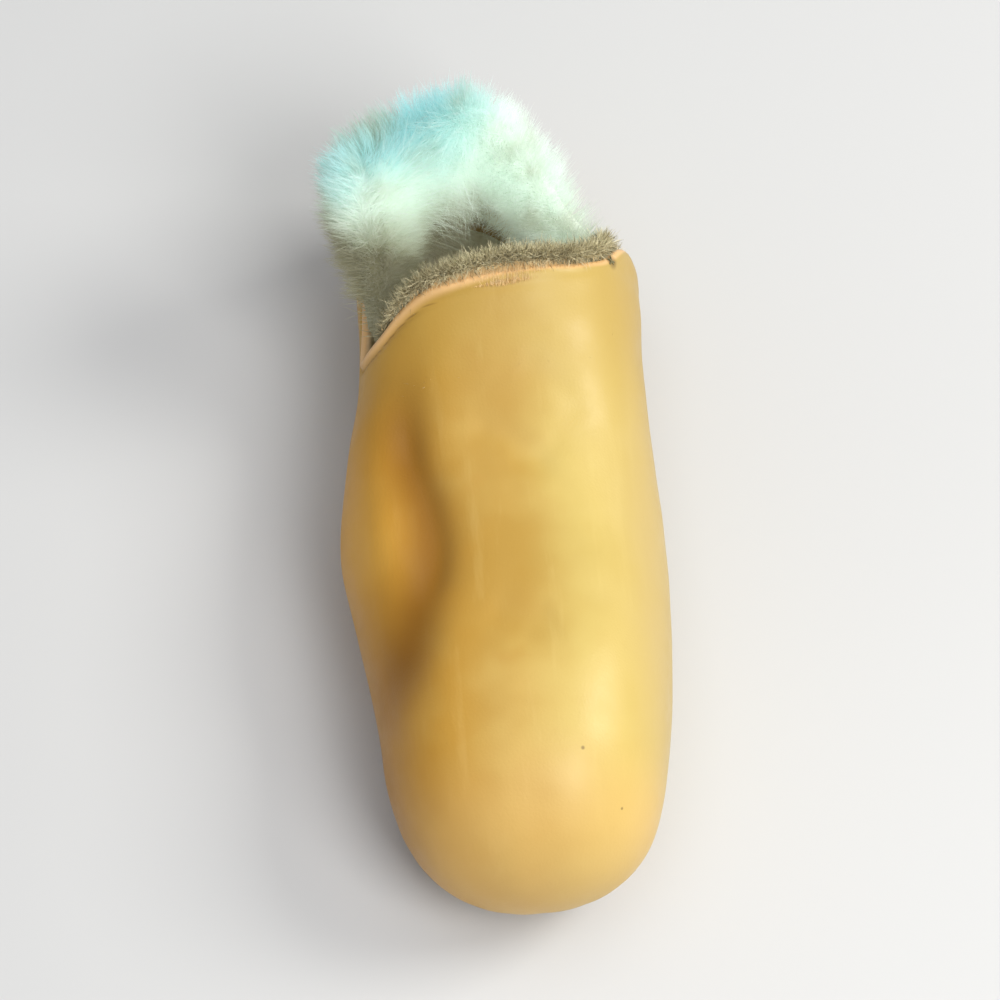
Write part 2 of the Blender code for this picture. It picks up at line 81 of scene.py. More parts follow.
# Shapes of the round ends, as shares of the length
HEEL_ROUND = 0.19
TOE_ROUND = 0.20
TOE_POWER = 2.2
SOLE_HEEL_ROUND = 0.12
SOLE_TOE_ROUND = 0.17

# How the leather's section rounds over: higher is squarer
ACROSS_POWER = 2.4
CROWN_POWER = 2.2

# Insets of the collar's edge from the widest line
CORNER_INSET = 0.0006
HEEL_INSET = 0.0042

# Leather bag: half widths in half ball widths, crest in vamp heights, widest line in bulge heights
BAG = {
    "share":   [0.00, 0.07, 0.13, 0.17, 0.22, 0.30, 0.41, 0.54, 0.64, 0.75, 0.85, 1.00],
    "bend":    [-0.112, -0.092, -0.052, -0.022, 0.008, 0.038, 0.038, 0.038, 0.038, 0.038, 0.038, 0.038],
    "medial":  [0.62, 0.66, 0.75, 0.975, 0.975, 0.93, 0.94, 0.965, 0.955, 0.915, 0.855, 0.91],
    "lateral": [0.68, 0.71, 0.75, 0.77, 0.80, 0.85, 0.96, 1.04, 0.97, 0.89, 0.86, 0.87],
    "crest":   [1.00, 1.02, 1.06, 1.09, 1.08, 0.98, 0.88, 0.885, 0.95, 1.00, 0.99, 0.93],
    "bulge":   [1.05, 1.05, 1.05, 1.05, 1.04, 1.02, 1.00, 1.00, 1.00, 1.00, 0.97, 0.88],
}

# Throat edge: shares of the length from its inner corner across to its outer corner
THROAT = {
    "across": [0.00, 0.07, 0.18, 0.33, 0.48, 0.63, 0.78, 0.86, 0.93, 1.00],
    "share":  [0.168, 0.203, 0.223, 0.231, 0.235, 0.242, 0.250, 0.262, 0.277, 0.287],
}

# Sole: half widths in half sole ball widths
SOLE = {
    "share":   [0.00, 0.10, 0.20, 0.31, 0.42, 0.52, 0.62, 0.72, 0.82, 1.00],
    "medial":  [0.74, 0.71, 0.67, 0.62, 0.56, 0.58, 0.74, 0.87, 0.92, 0.92],
    "lateral": [0.70, 0.70, 0.62, 0.50, 0.62, 0.82, 1.00, 1.07, 1.07, 1.02],
}
FLAT_ACROSS = 0.55
HEEL_FLAT_FROM = 0.10
HEEL_FLAT_TO = 0.20
BALL_FLAT_FROM = 0.62
BALL_FLAT_TO = 0.84

# Wool lining by its place: from 0 at the inner corner round the heel to 1 at the outer corner,
# and below 0 across the throat from the inner corner at 0 to the outer corner at -1
CUFF = {
    "around": [-1.00, -0.85, -0.50, -0.15, 0.00, 0.10, 0.22, 0.32,
               0.40, 0.47, 0.54, 0.62, 0.70, 0.80, 0.90, 1.00],
    "high":   [0.12, 0.12, 0.14, 0.12, 0.11, 0.32, 0.52, 0.70,
               0.86, 0.78, 0.62, 0.68, 0.94, 0.90, 0.50, 0.12],
    "lean":   [-0.46, -0.06, 0.00, 0.00, -0.24, 0.30, 0.44, 0.32,
               0.18, 0.18, 0.35, 0.75, 1.00, 0.85, 0.36, -0.46],
    "pile":   [0.50, 0.50, 0.55, 0.50, 0.50, 0.60, 0.75, 0.90,
               1.00, 1.00, 1.00, 1.00, 1.00, 0.95, 0.75, 0.50],
    "deep":   [0.50, 0.60, 0.70, 0.60, 0.50, 0.65, 0.85, 0.95,
               1.00, 1.00, 1.00, 1.00, 0.95, 0.85, 0.65, 0.50],
    "gap":    [4.00, 1.80, 1.70, 2.40, 5.20, 2.60, 1.60, 1.60,
               2.00, 2.60, 2.60, 2.20, 1.80, 1.60, 2.40, 4.00],
    "lock":   [0.00, 0.12, 0.15, 0.12, 0.00, 0.50, 0.80, 0.95,
               1.00, 1.00, 1.00, 1.00, 1.00, 0.90, 0.50, 0.00],
}

# Drawcord from its middle inside the toe to each free end: across, in front of the seam, height
CORD_ROUTE = {
    "across": [0.0000, 0.0030, 0.0052, 0.0066, 0.0087, 0.0116, 0.0143],
    "front":  [0.0020, 0.0022, 0.0027, 0.0030, 0.0024, 0.0002, -0.0032],
    "height": [0.0122, 0.0119, 0.0103, 0.0072, 0.0046, 0.0028, 0.0020],
}
HOLE_ROW = 3

# Pleats of the gathered toe and heel: place along the edge from the toe tip or the heel tip,
# in ball widths with the outer side negative, half width and depth in metres
PLEATS = {
    "end":        ["toe"] * 9 + ["heel"] * 3,
    "place":      [-0.56, -0.46, -0.37, -0.20, -0.09, 0.015, 0.145, 0.26, 0.38, -0.34, -0.22, -0.08],
    "half_width": [0.0018, 0.0018, 0.0018, 0.0020, 0.0021, 0.0020, 0.0020, 0.0021, 0.0022,
                   0.0022, 0.0022, 0.0024],
    "depth":      [0.0006, 0.0008, 0.0007, 0.0007, 0.0013, 0.0013, 0.0012, 0.0008, 0.0005,
                   0.0009, 0.0010, 0.0006],
}
PLEAT_ROOM = 0.0006


def on_curve(t, span, first, last, slope_first, slope_last):
    """A smooth curve between two stops a span apart, at a share t of the way."""
    return (
        (2 * t**3 - 3 * t**2 + 1) * first
        + (t**3 - 2 * t**2 + t) * span * slope_first
        + (3 * t**2 - 2 * t**3) * last
        + (t**3 - t**2) * span * slope_last
    )


def eased(table, column, share):
    """A column of a table at any place, on a smooth curve through its rows."""
    at = np.array(next(iter(table.values())))
    value = np.array(table[column])
    slope = np.gradient(value, at)
    share = np.clip(share, at[0], at[-1])
    i = np.clip(np.searchsorted(at, share, side="right") - 1, 0, len(at) - 2)
    span = at[i + 1] - at[i]
    t = (share - at[i]) / span
    return on_curve(t, span, value[i], value[i + 1], slope[i], slope[i + 1])


def ramp(value, start, end):
    """0 at start and 1 at end, straight between them and level beyond, up or down."""
    return np.clip((value - start) / (end - start), 0.0, 1.0)


def unit(vectors):
    """Vectors scaled to a length of 1."""
    return vectors / np.maximum(np.linalg.norm(vectors, axis=-1, keepdims=True), 1e-12)


def rounding(share, heel_round, toe_round):
    """0 at both tips and 1 between the round ends."""
    back = 1 - ramp(share, 0.0, heel_round)
    front = ramp(share, 1 - toe_round, 1.0)
    return np.sqrt(1 - back**2) * (1 - front**TOE_POWER) ** (1 / TOE_POWER)


def bag_y(share):
    return LENGTH / 2 - share * LENGTH


def share_at(y):
    return (LENGTH / 2 - y) / LENGTH


def bag_middle(share):
    """Where the middle of the outline lies: it bends to the outer side at the heel."""
    return BALL_WIDTH / 2 * eased(BAG, "bend", share)


def bag_half_width(share, side):
    column = "medial" if side > 0 else "lateral"
    return BALL_WIDTH / 2 * eased(BAG, column, share) * rounding(share, HEEL_ROUND, TOE_ROUND)


def bulge_z(share):
    return BULGE_HEIGHT * eased(BAG, "bulge", share)


def crown_z(x, share):
    """Height of the leather over a point inside the outline, all the way from toe to heel."""
    off = x - bag_middle(share)
    width = np.where(off > 0, bag_half_width(share, 1), bag_half_width(share, -1))
    across = np.clip(np.abs(off) / np.maximum(width, 1e-6), 0, 1)
    side = bulge_z(share)
    crest = VAMP_HEIGHT * eased(BAG, "crest", share)
    crest = crest + (THROAT_HEIGHT - 1.1 * VAMP_HEIGHT) * (1 - ramp(share, 0.20, 0.40))
    rise = (crest - side) * rounding(share, HEEL_ROUND, TOE_ROUND)
    return side + rise * (1 - across**ACROSS_POWER) ** (1 / CROWN_POWER)


def sole_y(share):
    return LENGTH / 2 - SOLE_HEEL_SETBACK - share * SOLE_LENGTH


def sole_half_width(share, side):
    column = "medial" if side > 0 else "lateral"
    return SOLE_BALL_WIDTH / 2 * eased(SOLE, column, share) * rounding(share, SOLE_HEEL_ROUND, SOLE_TOE_ROUND)


def sole_z(share, across):
    """Height of the sole's underside: flat at heel and ball, with an arch and a rising edge."""
    arch = ramp(share, HEEL_FLAT_TO, 0.36) * (1 - ramp(share, 0.46, BALL_FLAT_FROM))
    back = 1 - ramp(share, 0.0, HEEL_FLAT_FROM)
    front = ramp(share, BALL_FLAT_TO, 1.0)
    edge = ramp(np.abs(across), FLAT_ACROSS, 1.0) ** 2
    ends = HEEL_LIFT * back**2 + TOE_LIFT * front**2
    return ARCH_LIFT * arch + SIDE_RISE * edge * (1 - back**2) * (1 - front**2) + ends


def edge_loop(y_of, middle, half_width, count=1200):
    """Plan outline from the heel tip along +X to the toe tip and back, with its length so far."""
    turn = np.linspace(0, 2 * math.pi, count, endpoint=False)
    share = 0.5 - 0.5 * np.cos(turn)
    x = middle(share) + np.where(turn <= math.pi, half_width(share, 1), -half_width(share, -1))
    points = np.stack([x, y_of(share)], axis=1)
    steps = np.linalg.norm(np.roll(points, -1, axis=0) - points, axis=1)
    along = np.concatenate([[0], np.cumsum(steps)])
    half = along[count // 2]
    return {"points": points, "share": share, "along": along[:-1], "total": along[-1], "toe": half}


def at_length(loop, along):
    """Points of an outline, and their shares of its length, at distances from the heel tip."""
    stops = np.append(loop["along"], loop["total"])
    closed = np.vstack([loop["points"], loop["points"][:1]])
    share = np.append(loop["share"], loop["share"][0])
    where = np.mod(along, loop["total"])
    x = np.interp(where, stops, closed[:, 0])
    y = np.interp(where, stops, closed[:, 1])
    return np.stack([x, y], axis=1), np.interp(where, stops, share)


def places_around(loop, half_count):
    """Distances round the bag's outline, closer together at the gathered toe, as many on each side."""
    sides = []
    for first, last in ((0.0, loop["toe"]), (loop["toe"], loop["total"])):
        fine = np.linspace(first, last, 2000)
        density = 1 + 2.0 * np.exp(-((np.abs(fine - loop["toe"]) / (0.72 * BALL_WIDTH)) ** 4))
        grown = np.concatenate([[0], np.cumsum((density[1:] + density[:-1]) / 2)])
        sides.append(np.interp(np.linspace(0, grown[-1], half_count, endpoint=False), grown, fine))
    along = np.concatenate(sides)
    for corner in throat_corners(loop):
        along[np.argmin(np.abs(along - corner))] = corner
    return along


def matching_sole_edge(bag, along):
    """Seam point for each place of the bag: the same share of its own side, heel tip to toe tip."""
    sole = edge_loop(sole_y, bag_middle, sole_half_width)
    first = along / bag["toe"] * sole["toe"]
    rest = (along - bag["toe"]) / (bag["total"] - bag["toe"]) * (sole["total"] - sole["toe"])
    return at_length(sole, np.where(along <= bag["toe"], first, sole["toe"] + rest))


def corner_along(bag, share, side):
    """Distance round the outline at which a side of it reaches this share of the length."""
    half = len(bag["share"]) // 2
    if side > 0:
        return float(np.interp(share, bag["share"][: half + 1], bag["along"][: half + 1]))
    return float(np.interp(-share, -bag["share"][half:], bag["along"][half:]))


def throat_corners(bag):
    """Distances round the outline of the throat's inner and outer corner."""
    return corner_along(bag, THROAT["share"][0], 1), corner_along(bag, THROAT["share"][-1], -1)


def throat_across(go):
    """Share of the way across the throat for a share of the way round the toe."""
    return 0.45 * go + 0.55 * (0.5 - 0.5 * np.cos(math.pi * go))


def collar_line(bag, along, points):
    """Plan place of the collar's edge for each place, and its height there."""
    start, end = throat_corners(bag)
    inner, outer = THROAT["share"][0], THROAT["share"][-1]
    right = bag_middle(inner) + bag_half_width(inner, 1) - CORNER_INSET
    left = bag_middle(outer) - bag_half_width(outer, -1) + CORNER_INSET
    inward = unit(np.array([bag_middle(0.10), bag_y(0.20)]) - points)
    forward = np.where(along < start, along / start, (bag["total"] - along) / (bag["total"] - end))
    behind = np.cos(np.clip(forward, 0, 1) * math.pi / 2)
    inset = CORNER_INSET + (HEEL_INSET - CORNER_INSET) * behind
    rear = points + inward * inset[:, None]
    across = throat_across(ramp(along, start, end))
    share = eased(THROAT, "share", across)
    front = np.stack([right + (left - right) * across, bag_y(share)], axis=1)
    in_front = (along >= start) & (along <= end)
    plan = np.where(in_front[:, None], front, rear)
    medial = crown_z(right, inner)
    lateral = crown_z(left, outer)
    corner = np.where(along < start, medial, lateral)
    over = crown_z(plan[:, 0], share_at(plan[:, 1]))
    height = np.where(in_front, over, corner + (HEEL_HEIGHT - corner) * behind**1.5)
    return plan, height


def pleat_depth(bag, along):
    """How far each place of the gathered edge is drawn in."""
    depth = np.zeros(len(along))
    for end, place, half_width, most in zip(*(PLEATS[k] for k in ("end", "place", "half_width", "depth"))):
        middle = bag["toe"] if end == "toe" else 0.0
        away = along - middle + place * BALL_WIDTH
        away = (away + bag["total"] / 2) % bag["total"] - bag["total"] / 2
        depth += most * np.exp(-((away / half_width) ** 2) * 2)
    return depth


def upper_surface(bag, along, lower, upper):
    """Outer surface of the leather as rows from seam to collar, and the pleats' depth at each point."""
    wide, share = at_length(bag, along)
    seam, seam_share = matching_sole_edge(bag, along)
    seam_z = sole_z(seam_share, 1.0)
    wide_z = bulge_z(share)
    collar, collar_z = collar_line(bag, along, wide)
    over = crown_z(collar[:, 0], share_at(collar[:, 1]))
    out = wide - seam
    reach = np.linalg.norm(out, axis=1)
    rows = []
    for t in lower:
        first = (1 - t) ** 3
        second = 3 * t * (1 - t) ** 2
        third = 3 * t**2 * (1 - t)
        last = t**3
        plan = seam + out * (0.45 * second + third + last)
        z = first * seam_z + second * (seam_z + 0.2 * reach)
        z = z + third * (wide_z - 0.55 * (wide_z - seam_z)) + last * wide_z
        rows.append(np.column_stack([plan, z]))
    for t in upper:
        plan = wide + (collar - wide) * t**2
        z = crown_z(plan[:, 0], share_at(plan[:, 1]))
        z = wide_z + (z - wide_z) * (collar_z - wide_z) / (over - wide_z)
        rows.append(np.column_stack([plan, z]))
    grid = np.array(rows)
    level = np.concatenate([lower, 1 + upper * 2.0])
    fade = np.cos(np.clip(level / 1.2, 0, 1) * math.pi / 2) ** 1.5
    return grid, fade[:, None] * pleat_depth(bag, along)[None, :]


def point_normals(points, faces):
    """Normal of each point, from the faces round it weighted by their area."""
    normals = np.zeros_like(points)
    for face in faces:
        corners = points[list(face)]
        normal = np.cross(corners[2] - corners[0], corners[-1] - corners[1])
        for index in face:
            normals[index] += normal
    return unit(normals)


def closed_shell(outer, inner, faces):
    """Points and faces of a wall between two sheets with the same faces."""
    count = len(outer)
    edges = {(a, b) for face in faces for a, b in zip(face, face[1:] + face[:1])}
    walls = list(faces)
    walls += [tuple(count + i for i in reversed(face)) for face in faces]
    walls += [(b, a, count + a, count + b) for a, b in sorted(edges) if (b, a) not in edges]
    return np.vstack([outer, inner]), walls


def sole_sheet(bag, half_around, margin, lift, rings):
    """A sheet over the sole's plan with a margin inside its edge, as faces that face down."""
    along = places_around(bag, half_around)
    edge, share = matching_sole_edge(bag, along)
    count = len(along)
    spine_share = np.clip(share, 0.14, 0.82)
    spine = np.stack([bag_middle(spine_share), sole_y(spine_share)], axis=1)
    reach = np.linalg.norm(edge - spine, axis=1)
    points = []
    for ring in rings:
        kept = ring * (1 - margin / reach)
        plan = spine + (edge - spine) * kept[:, None]
        at = (LENGTH / 2 - SOLE_HEEL_SETBACK - plan[:, 1]) / SOLE_LENGTH
        points.append(np.column_stack([plan, sole_z(np.clip(at, 0, 1), kept) + lift]))
    points = np.concatenate(points)
    faces = [tuple(face) for face in ring_quads(len(rings), count, flip=True).tolist()]
    last = (len(rings) - 1) * count
    faces.append((last, last + 1, last + count - 1))
    for j in range(1, count // 2 - 1):
        faces.append((last + j, last + j + 1, last + count - j - 1, last + count - j))
    j = count // 2 - 1
    faces.append((last + j, last + j + 1, last + j + 2))
    return points, faces


def cuff_places(bag, rear_count, front_count):
    """Places of the cuff: round the heel from the outer corner, then across the throat back to it."""
    start, end = throat_corners(bag)
    behind = start + bag["total"] - end
    rear = np.arange(rear_count) / rear_count
    turn = np.linspace(0, 1, 600)
    go = np.interp(np.arange(front_count) / front_count, throat_across(turn), turn)
    along = np.concatenate([end + rear * behind, start + go * (end - start)])
    around = np.concatenate([1 - rear, -go])
    return np.mod(along, bag["total"]), around


def cuff_sections(bag, along, around):
    """The lining's cross-section at each place, as rows of points round the section."""
    count = len(along)
    fine_rows = 48
    grid, _ = upper_surface(bag, along, np.linspace(0, 1, 6), np.linspace(0, 1, fine_rows + 1)[1:])
    normals = grid_normals(grid)
    from_edge = edge_distance(grid)[::-1]

    def on_leather(depth, inward):
        """Points at a depth below the collar's edge, this far inside the leather's outer face."""
        found = np.zeros((count, 3))
        for j in range(count):
            for axis in range(3):
                line = grid[::-1, j, axis] - normals[::-1, j, axis] * inward[j]
                found[j, axis] = np.interp(depth[j], from_edge[:, j], line)
        return found

    edge = grid[-1]
    out = normals[-1]
    on = unit(edge - grid[-3])
    rear = np.where(around > 0, np.sin(np.clip(around, 0, 1) * math.pi) ** 0.6, 0.0)[:, None]
    flat = unit(out * np.array([1.0, 1.0, 0.0]))
    side = unit((1 - rear) * out + rear * flat)
    rise = unit((1 - rear) * on + rear * np.array([0.0, 0.0, 1.0]))
    throat = ramp(np.minimum(-around, around + 1), 0.0, 0.08)
    high = CUFF_HEIGHT * eased(CUFF, "high", around) * (1 - 0.50 * throat)
    lean = CUFF_LEAN * eased(CUFF, "lean", around)
    pile = CUFF_PILE * eased(CUFF, "pile", around)
    deep = CUFF_DEPTH * eased(CUFF, "deep", around)
    gap = eased(CUFF, "gap", around)
    inside = LEATHER + CLEARANCE * gap
    over = CUFF_OVER_EDGE * gap**0.5

    def above(outward, upward):
        return edge + side * np.reshape(outward, (-1, 1)) + rise * np.reshape(upward, (-1, 1))

    low_rim = on_leather(np.zeros(count), inside) + on * over[:, None]
    sections = [
        on_leather(deep, inside),
        on_leather(deep * 0.66, inside),
        on_leather(deep * 0.30, inside),
        low_rim,
        above(np.where(lean < 0, lean, lean * 0.35), over + high * 0.04),
        above(np.where(lean < 0, lean, lean * 0.75), over + high * 0.28),
        above(lean * 1.00, over + high * 0.58),
        above(lean * 1.00, over + high * 0.84),
        above(lean * 0.75 - pile * 0.25, over + high * 1.00),
        above(lean * 0.40 - pile * 0.80, over + high * 0.86),
        above(lean * 0.10 - pile * 1.10, over + high * 0.55),
        above(-LEATHER - pile * 1.05, over + high * 0.22),
        on_leather(deep * 0.22, inside + pile),
        on_leather(deep * 0.62, inside + pile * 0.9),
        on_leather(deep, inside + pile * 0.6),
    ]
    return np.array(sections)


def cord_route(side):
    """Route of one half of the cord, from the middle outwards, to the inner or the outer side."""
    toe_y = sole_y(1.0)
    across = bag_middle(1.0) + side * np.array(CORD_ROUTE["across"])
    return np.column_stack([across, toe_y - np.array(CORD_ROUTE["front"]), CORD_ROUTE["height"]])


def smooth_route(route, spacing):
    """Evenly spread points of a smooth curve through a route's own points."""
    steps = np.linalg.norm(np.diff(route, axis=0), axis=1)
    at = np.concatenate([[0], np.cumsum(steps)])
    slope = np.gradient(route, at, axis=0)
    points = []
    for s in np.linspace(0, at[-1], int(round(at[-1] / spacing)) + 1):
        i = min(int(np.searchsorted(at, s, side="right")) - 1, len(at) - 2)
        span = at[i + 1] - at[i]
        t = (s - at[i]) / span
        points.append(on_curve(t, span, route[i], route[i + 1], slope[i], slope[i + 1]))
    return points


# Rows of the fine leather
FINE_HALF_AROUND = 150
FINE_LOWER = np.linspace(0, 1, 15)
FINE_UPPER = np.concatenate([
    [0.035, 0.07, 0.105], np.sqrt(np.linspace(0.02, 0.93, 60)),
    np.sqrt([0.940, 0.950, 0.958, 0.966, 0.973, 0.979, 0.985, 0.990, 0.994, 0.9975, 1.0]),
])

# How many fibres, tufts and stitches
FIBRES = 17000
TUFTS = 520
HEEL_FIBRES = 12000
EDGE_FIBRES = 22000
INNER_FIBRES = 9000
NAP_FIBRES = 3000
SEAM_STITCHES = 96

# Widths of the fibres and threads
FIBRE_WIDTH = 0.000085
HEEL_FIBRE_WIDTH = 0.00009
EDGE_FIBRE_WIDTH = 0.00013
INNER_FIBRE_WIDTH = 0.00010
NAP_WIDTH = 0.00006
SEAM_THREAD_RADIUS = 0.00024
CORNER_THREAD_RADIUS = 0.00015

# Lights, with their power in watts
LIGHTS = [
    {"name": "key", "place": (0.36, -0.40, 0.76), "target": (0.0, 0.0, 0.02),
     "size": (0.45, 0.45), "power": 4.5, "colour": (1.0, 0.985, 0.95)},
    {"name": "top", "place": (0.0, 0.10, 1.00), "target": (0.0, 0.0, 0.02),
     "size": (0.80, 0.80), "power": 2.2, "colour": (1.0, 1.0, 1.0)},
    {"name": "shine", "place": (0.70, 0.12, 0.64), "target": (0.0, -0.02, 0.02),
     "size": (0.36, 0.38), "power": 5.4, "colour": (1.0, 0.99, 0.93)},
]

# Floor
FLOOR_REACH = 3.0
FLOOR_GAP = 0.0001

# Fibre length and thickness of growth by place, as the lining's table has it
FIBRE = {
    "around": [-1.00, 0.00, 0.05, 0.12, 0.22, 0.32, 0.40, 0.50, 0.60, 0.75, 0.88, 0.95, 1.00],
    "long":   [0.00, 0.30, 0.60, 0.85, 1.00, 0.95, 0.90, 1.10, 1.10, 1.00, 0.95, 0.85, 0.40],
}

# How far the sole reaches past its seam, so that no light comes through it
SOLE_OVERLAP = 0.0003

# Soft troughs and ridges of the vamp: points are (x in half ball widths, share of the length),
# height in metres with troughs negative, half width in metres
VAMP_FOLDS = [
    {"points": [(-0.54, 0.27), (-0.57, 0.37), (-0.53, 0.46), (-0.45, 0.53),
                (-0.46, 0.61), (-0.58, 0.67), (-0.76, 0.80)],
     "height": -0.0013, "half_width": 0.0052},
    {"points": [(-0.57, 0.37), (-0.54, 0.46), (-0.45, 0.52), (-0.44, 0.60), (-0.58, 0.66)],
     "height": -0.0005, "half_width": 0.0024},
    {"points": [(-0.70, 0.33), (-0.72, 0.42), (-0.70, 0.52), (-0.72, 0.62)],
     "height": 0.0010, "half_width": 0.0046},
    {"points": [(0.04, 0.473), (0.18, 0.468), (0.32, 0.452), (0.41, 0.434)],
     "height": -0.00022, "half_width": 0.0013},
    {"points": [(-0.20, 0.415), (0.02, 0.430), (0.22, 0.462), (0.34, 0.50)],
     "height": -0.00035, "half_width": 0.0022},
    {"points": [(0.14, 0.34), (0.38, 0.37), (0.56, 0.42)],
     "height": -0.0003, "half_width": 0.0028},
    {"points": [(-0.16, 0.66), (0.09, 0.69), (0.30, 0.68)],
     "height": -0.0003, "half_width": 0.0034},
]

# Line of the painted shade along the vamp's valley, where its trough falls into shade
VALLEY_SHADE = [(-0.64, 0.29), (-0.59, 0.37), (-0.55, 0.46), (-0.47, 0.53),
                (-0.49, 0.60), (-0.62, 0.67), (-0.82, 0.82)]

# Small dark marks of the vamp, and the stitch hole drawn as a dark disc of painted shade: place across and
# along in metres, and radius
SPECKS = [(0.0090, -0.0450, 0.00029), (0.0144, -0.0530, 0.00022)]
STITCH_HOLE = (0.0205, 0.0370, 0.0010)


def grid_normals(grid, closed=False):
    """Outward normals of a grid whose places go round, and when closed its rows too."""
    up = np.roll(grid, -1, axis=0) - np.roll(grid, 1, axis=0) if closed else np.gradient(grid, axis=0)
    along = np.roll(grid, -1, axis=1) - np.roll(grid, 1, axis=1)
    return unit(np.cross(up, along))


def ring_quads(rows, around, flip=False, closed=False):
    """Quads of a band of rows that closes on itself, and when closed also from last row to first."""
    i, j = np.meshgrid(np.arange(rows if closed else rows - 1), np.arange(around), indexing="ij")
    k = (j + 1) % around
    above = (i + 1) % rows
    quads = np.stack([i * around + j, above * around + j, above * around + k, i * around + k], axis=-1)
    quads = quads.reshape(-1, 4)
    return quads[:, ::-1] if flip else quads


def add_object(name, data):
    """A new object of the scene with this mesh, light or camera."""
    made = bpy.data.objects.new(name, data)
    bpy.context.scene.collection.objects.link(made)
    return made


def turn_along(made, direction, axis):
    """Turns an object so that its axis points along a direction."""
    made.rotation_mode = "QUATERNION"
    made.rotation_quaternion = direction.to_track_quat(axis, "Y")


def make_mesh(name, points, faces, material):
    """A mesh object from arrays of points and of faces with one size."""
    points = np.asarray(points, dtype=np.float32)
    faces = np.asarray(faces, dtype=np.int32)
    mesh = bpy.data.meshes.new(name)
    mesh.vertices.add(len(points))
    mesh.vertices.foreach_set("co", points.ravel())
    mesh.loops.add(faces.size)
    mesh.loops.foreach_set("vertex_index", faces.ravel())
    mesh.polygons.add(len(faces))
    mesh.polygons.foreach_set("loop_start", np.arange(0, faces.size, faces.shape[1], dtype=np.int32))
    mesh.polygons.foreach_set("loop_total", np.full(len(faces), faces.shape[1], dtype=np.int32))
    mesh.update(calc_edges=True)
    mesh.validate()
    mesh.shade_smooth()
    mesh.materials.append(material)
    return add_object(name, mesh)


def add_value(made, name, values):
    """A number for each point of a mesh, which its material reads."""
    field = made.data.attributes.new(name, "FLOAT", "POINT")
    field.data.foreach_set("value", np.asarray(values, dtype=np.float32).ravel())


def fold_height(fold, x, share):
    """Height of a soft fold at each place of the vamp, fading at its two ends."""
    stops = np.array(fold["points"]) * np.array([BALL_WIDTH / 2, LENGTH])
    route = np.array(smooth_route(np.column_stack([stops, np.zeros(len(stops))]), 0.002))[:, :2]
    place = np.stack([x, share * LENGTH], axis=-1)
    nearest = np.full(x.shape, 1e9)
    at = np.zeros(x.shape)
    for n in range(len(route) - 1):
        step = route[n + 1] - route[n]
        t = np.clip(((place - route[n]) @ step) / (step @ step), 0, 1)
        away = np.linalg.norm(place - route[n] - t[..., None] * step, axis=-1)
        closer = away < nearest
        nearest = np.where(closer, away, nearest)
        at = np.where(closer, (n + t) / (len(route) - 1), at)
    fade = ramp(np.minimum(at, 1 - at), 0.0, 0.22)
    fade = 0.15 + 0.85 * fade * fade * (3 - 2 * fade)
    return fold["height"] * fade * np.exp(-((nearest / fold["half_width"]) ** 2))


def waves(points, length, seed, count=10):
    """A smooth random field from -1 to 1 over points, with waves of about this length."""
    random = np.random.default_rng(seed)
    total = np.zeros(points.shape[:-1])
    for _ in range(count):
        direction = unit(random.normal(size=3))
        stretch = random.uniform(0.7, 1.5)
        start = random.uniform(0, 2 * math.pi)
        total += np.sin(points @ direction * 2 * math.pi / (length * stretch) + start)
    return total / count * 1.6


def edge_distance(grid):
    """Distance of each point of the leather from the collar's edge, along the leather."""
    steps = np.linalg.norm(np.diff(grid, axis=0), axis=2)[::-1]
    return np.vstack([np.zeros(grid.shape[1]), np.cumsum(steps, axis=0)])[::-1]


def leather_surface():
    """The leather's outer face with its folds, and what its material needs at each point."""
    bag = edge_loop(bag_y, bag_middle, bag_half_width)
    along = places_around(bag, FINE_HALF_AROUND)
    grid, pleats = upper_surface(bag, along, FINE_LOWER, FINE_UPPER)
    rows = grid.shape[0]
    normals = grid_normals(grid)
    normals[0] = (0.0, 0.0, -1.0)
    normals[1:3] += np.array([0.0, 0.0, -0.8])
    normals = unit(normals)
    share = share_at(grid[:, :, 1])
    x = grid[:, :, 0]
    on_top = ramp(normals[:, :, 2], 0.0, 0.45)
    wide_line = np.arange(rows)[:, None] / (len(FINE_LOWER) - 1)
    height = -pleats * (1 - ramp(wide_line, 0.50, 0.95))
    for fold in VAMP_FOLDS:
        height = height + fold_height(fold, x, share) * on_top
    height = height + 0.00022 * waves(grid, 0.034, 3) * on_top
    height = height + 0.00006 * waves(grid, 0.009, 5)
    from_edge = edge_distance(grid)
    outer_part = ramp(-x, -0.012, 0.012)
    front = ramp(share, 0.17, 0.19)
    hem = np.exp(-(((from_edge - 0.0010) / 0.0011) ** 2)) * 0.00025
    hem = hem - np.exp(-(((from_edge - 0.0027) / 0.0006) ** 2)) * 0.00042 * outer_part
    height = height + hem * front
    heel = 1 - ramp(share, 0.02, 0.22)
    height = height + heel * 0.00035 * waves(grid * np.array([1.6, 1.0, 0.8]), 0.011, 8)
    # Painted shade: a band along the valley that the material darkens
    shade = {"points": VALLEY_SHADE, "height": 1.0, "half_width": 0.0047}
    valley = fold_height(shade, x, share) * on_top
    # Line of the groove below the hem, which is darkened with painted shade
    hem_line = np.exp(-(((from_edge - 0.0028) / 0.00045) ** 2)) * outer_part * front
    return {"bag": bag, "along": along, "grid": grid, "normals": normals, "height": height, "pleats": pleats,
            "valley": valley, "hem_line": hem_line}


